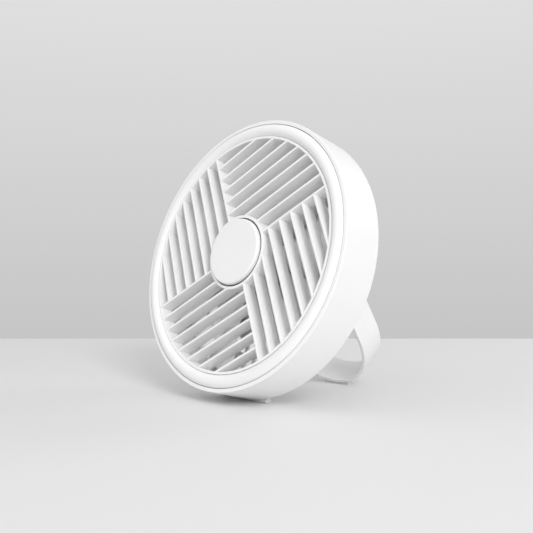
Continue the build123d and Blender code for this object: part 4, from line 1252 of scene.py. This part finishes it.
class FAN_OT_pins(bpy.types.Operator):
    """Build the two hinge pins with their low round heads"""

    bl_idname = "fan.pins"
    bl_label = "Hinge pins"

    def execute(self, context):
        sizes = context.scene.fan_stand
        face = sizes.half_width + sizes.pin_head_gap
        top = face + sizes.pin_head_height
        edge = sizes.pin_head_radius
        rounding = sizes.pin_head_round
        crown = domed(edge * PIN_CROWN_SPAN_SHARE, top, rounding * PIN_CROWN_SHARE, PIN_CROWN_POINTS)
        shank = sizes.pin_radius
        rest = [(edge, face), (shank, face), (shank, sizes.pin_end), (0.0, sizes.pin_end)]
        pin = turned(np.concatenate([crown, rim_arc(edge, top, rounding), rest]), SMALL_TURN_STEPS)
        for side, name, node in ((1, "pin_right", "hinge_pin_right"), (-1, "pin_left", "hinge_pin_left")):
            axes = np.array([(0.0, 1.0, 0.0), (0.0, 0.0, side), (side, 0.0, 0.0)])
            placed = pin.placed(lambda points: np.array([0.0, pivot[1], pivot[2]]) + points @ axes)
            add_piece(name, [placed.facing_out()], "body", node)
        return {"FINISHED"}


def strap_wedge(sizes, rows=61, columns=25):
    """The pad under the strap, flat below. Its top follows the hoop's outside, z = z0 + (y - y0) tan(lean),
    where (y0, z0) is the strap's lowest edge at each x, and its front stands behind the lowest edge of
    all."""
    low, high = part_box("stand_pad")
    ends = (high.x - low.x) / 2
    x = ends * np.sin(np.linspace(-pi / 2, pi / 2, rows))[:, None]
    corner = np.maximum(np.abs(x) - ends + sizes.pad_round, 0.0)
    inset = sizes.pad_round - np.sqrt(sizes.pad_round**2 - corner**2)
    front = strap_toe(sizes) + sizes.pad_setback
    y = front + inset + (high.y - front - 2 * inset) * np.linspace(0, 1, columns)
    reach = sizes.half_width - np.sqrt(sizes.half_width**2 - x**2)
    toe_z = sizes.pad_drop + reach * cos(sizes.lean)
    toe_y = strap_toe(sizes) - reach * sin(sizes.lean)
    top = np.minimum(toe_z + (y - toe_y) * np.tan(sizes.lean), high.z)
    x = np.broadcast_to(x, y.shape)
    return lofted(np.stack([x, y, top], -1), np.stack([x, y, np.zeros(y.shape)], -1))


class FAN_OT_feet(bpy.types.Operator):
    """Build the rubber bar behind the barrel's rear edge and the pad under the strap"""

    bl_idname = "fan.feet"
    bl_label = "Feet"

    def execute(self, context):
        sizes = context.scene.fan_stand
        depth = context.scene.fan_front.housing_depth
        rise = -(fan_centre[2] - depth * fan_forward[2]) / fan_up[2]
        heel = fan_centre + rise * fan_up - depth * fan_forward
        top = heel + sizes.foot_front_height * fan_up
        back = heel[1] + sizes.foot_width
        section = [(heel[1], 0.0), (back, 0.0), (back, sizes.foot_back_height), (top[1], top[2])]
        outline = rounded(section, sizes.foot_round, FINE_ROUND_STEPS)
        half = sizes.foot_length / 2
        bar = block(outline, half, -half, sizes.foot_round * FOOT_END_SHARE)
        bar = bar.placed(lambda points: points[:, [2, 0, 1]]).facing_out()
        add_piece("rear_foot", [bar], "body", "body_foot")
        add_piece("strap_pad", [strap_wedge(sizes)], "stand", "stand_pad")
        return {"FINISHED"}


class FAN_OT_frame_finishes(bpy.types.Operator):
    """Give every node of the frame the finish of its slot"""

    bl_idname = "fan.frame_finishes"
    bl_label = "Frame finishes"

    def execute(self, context):
        for name, node in frame["nodes"].items():
            for holder in node.material_slots:
                holder.material = finish(node_slots[name])
        return {"FINISHED"}


class FAN_OT_stage(bpy.types.Operator):
    """Set up the floor, the light and the camera"""

    bl_idname = "fan.stage"
    bl_label = "Stage"

    def execute(self, context):
        stage = context.scene.fan_stage
        self.make_floor(stage)
        self.make_light(context.scene, stage)
        self.make_lamp("key", stage.key_power, stage.key_size, stage.key_place)
        self.make_lamp("fill", stage.fill_power, stage.fill_size, stage.fill_place)
        camera = bpy.data.objects.new("camera", bpy.data.cameras.new("camera"))
        camera.location = Vector(fan_centre) + Vector(stage.camera_place)
        camera.rotation_euler = (pi / 2, 0.0, stage.camera_turn)
        camera.data.lens = stage.camera_lens
        camera.data.shift_y = stage.camera_shift
        context.scene.collection.objects.link(camera)
        context.scene.camera = camera
        context.scene.view_settings.view_transform = "Standard"
        return {"FINISHED"}

    def make_floor(self, stage):
        """A plain pale floor, turned to face the camera."""
        aside = np.array([cos(stage.camera_turn), sin(stage.camera_turn), 0.0])
        away = np.array([-sin(stage.camera_turn), cos(stage.camera_turn), 0.0])
        reach = {-1: -stage.floor_front, 1: stage.floor_back}
        points = [side * stage.floor_side * aside + reach[end] * away for side, end in CORNERS]
        mesh = bpy.data.meshes.new("floor")
        mesh.from_pydata([tuple(point) for point in points], [], [(0, 1, 2, 3)])
        material = bpy.data.materials.new("floor")
        material.use_nodes = True
        shader = material.node_tree.nodes["Principled BSDF"]
        shader.inputs["Base Color"].default_value = shaded(stage.floor_colour, 0.0)
        shader.inputs["Roughness"].default_value = stage.floor_roughness
        mesh.materials.append(material)
        floor = bpy.data.objects.new("floor", mesh)
        bpy.context.scene.collection.objects.link(floor)

    def make_light(self, scene, stage):
        """Soft light from above that is stronger on one side, and a plain backdrop that the camera, gloss and
        glass see in its place."""
        world = bpy.data.worlds.new("studio")
        world.use_nodes = True
        tree = world.node_tree
        looking = tree.nodes.new("ShaderNodeTexCoord").outputs["Generated"]
        side = tree.nodes.new("ShaderNodeVectorMath")
        side.operation = "DOT_PRODUCT"
        side.inputs[1].default_value = Vector(stage.sky_side).normalized()
        feed(tree, side.inputs[0], looking)
        leaning = math_node(tree, "MULTIPLY", side.outputs["Value"], stage.sky_lean)
        parts = tree.nodes.new("ShaderNodeSeparateXYZ")
        feed(tree, parts.inputs[0], looking)
        climb = tree.nodes.new("ShaderNodeMapRange")
        climb.inputs["From Max"].default_value = SKY_FULL_SINE
        climb.inputs["To Min"].default_value = stage.sky_horizon
        feed(tree, climb.inputs["Value"], parts.outputs["Z"])
        even = math_node(tree, "ADD", leaning, stage.sky_level)
        soft = tree.nodes["Background"]
        soft.inputs["Color"].default_value = (1.0, 1.0, 1.0, 1.0)
        feed(tree, soft.inputs["Strength"], math_node(tree, "MULTIPLY", even, climb.outputs["Result"]))
        rise = tree.nodes.new("ShaderNodeMapRange")
        rise.inputs["From Min"].default_value = BACKDROP_LOW_SINE
        rise.inputs["From Max"].default_value = BACKDROP_HIGH_SINE
        feed(tree, rise.inputs["Value"], parts.outputs["Z"])
        shades = [shaded(shade, 0.0) for shade in (stage.backdrop_low, stage.backdrop_high)]
        backdrop = tree.nodes.new("ShaderNodeBackground")
        feed(tree, backdrop.inputs["Color"], mix_colours(tree, rise.outputs["Result"], *shades))
        path = tree.nodes.new("ShaderNodeLightPath").outputs
        mirrored = math_node(tree, "MAXIMUM", path["Is Glossy Ray"], path["Is Transmission Ray"])
        mix = tree.nodes.new("ShaderNodeMixShader")
        feed(tree, mix.inputs[0], math_node(tree, "MAXIMUM", path["Is Camera Ray"], mirrored))
        feed(tree, mix.inputs[1], soft.outputs[0])
        feed(tree, mix.inputs[2], backdrop.outputs[0])
        feed(tree, tree.nodes["World Output"].inputs["Surface"], mix.outputs[0])
        scene.world = world

    def make_lamp(self, name, power, size, place):
        """A square lamp that faces the fan."""
        light = bpy.data.lights.new(name, "AREA")
        light.energy = power
        light.size = size
        lamp = bpy.data.objects.new(name, light)
        lamp.location = Vector(fan_centre) + Vector(place)
        lamp.rotation_euler = Vector(place).to_track_quat("Z", "Y").to_euler()
        bpy.context.scene.collection.objects.link(lamp)


class FAN_PT_builder(bpy.types.Panel):
    """Lists the steps that build the fan"""

    bl_idname = "FAN_PT_builder"
    bl_label = "Rechargeable Fan"
    bl_space_type = "VIEW_3D"
    bl_region_type = "UI"
    bl_category = "Fan"

    def draw(self, context):
        for operator in OPERATORS:
            self.layout.operator(operator.bl_idname)


OPERATORS = (
    FAN_OT_frame_finishes,
    FAN_OT_barrel,
    FAN_OT_trim_ring,
    FAN_OT_grille,
    FAN_OT_cap,
    FAN_OT_rotor,
    FAN_OT_rear_cover,
    FAN_OT_screws,
    FAN_OT_button,
    FAN_OT_stand,
    FAN_OT_pins,
    FAN_OT_feet,
    FAN_OT_stage,
)
GROUPS = {
    "fan_front": FanFrontSizes,
    "fan_rotor": FanRotorSizes,
    "fan_rear": FanRearSizes,
    "fan_stand": FanStandSizes,
    "fan_colours": FanColours,
    "fan_stage": FanStage,
}


def register():
    """Add the classes and the scene's groups of sizes."""
    for made in (*GROUPS.values(), *OPERATORS, FAN_PT_builder):
        bpy.utils.register_class(made)
    for name, group in GROUPS.items():
        setattr(bpy.types.Scene, name, PointerProperty(type=group))


def unregister():
    """Take the classes and the groups away again."""
    for name in GROUPS:
        delattr(bpy.types.Scene, name)
    for made in (FAN_PT_builder, *reversed(OPERATORS), *reversed(GROUPS.values())):
        bpy.utils.unregister_class(made)


def main():
    """Build every piece and the stage."""
    register()
    for operator in OPERATORS:
        category, name = operator.bl_idname.split(".")
        getattr(getattr(bpy.ops, category), name)()
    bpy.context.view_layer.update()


if __name__ == "__main__":
    main()
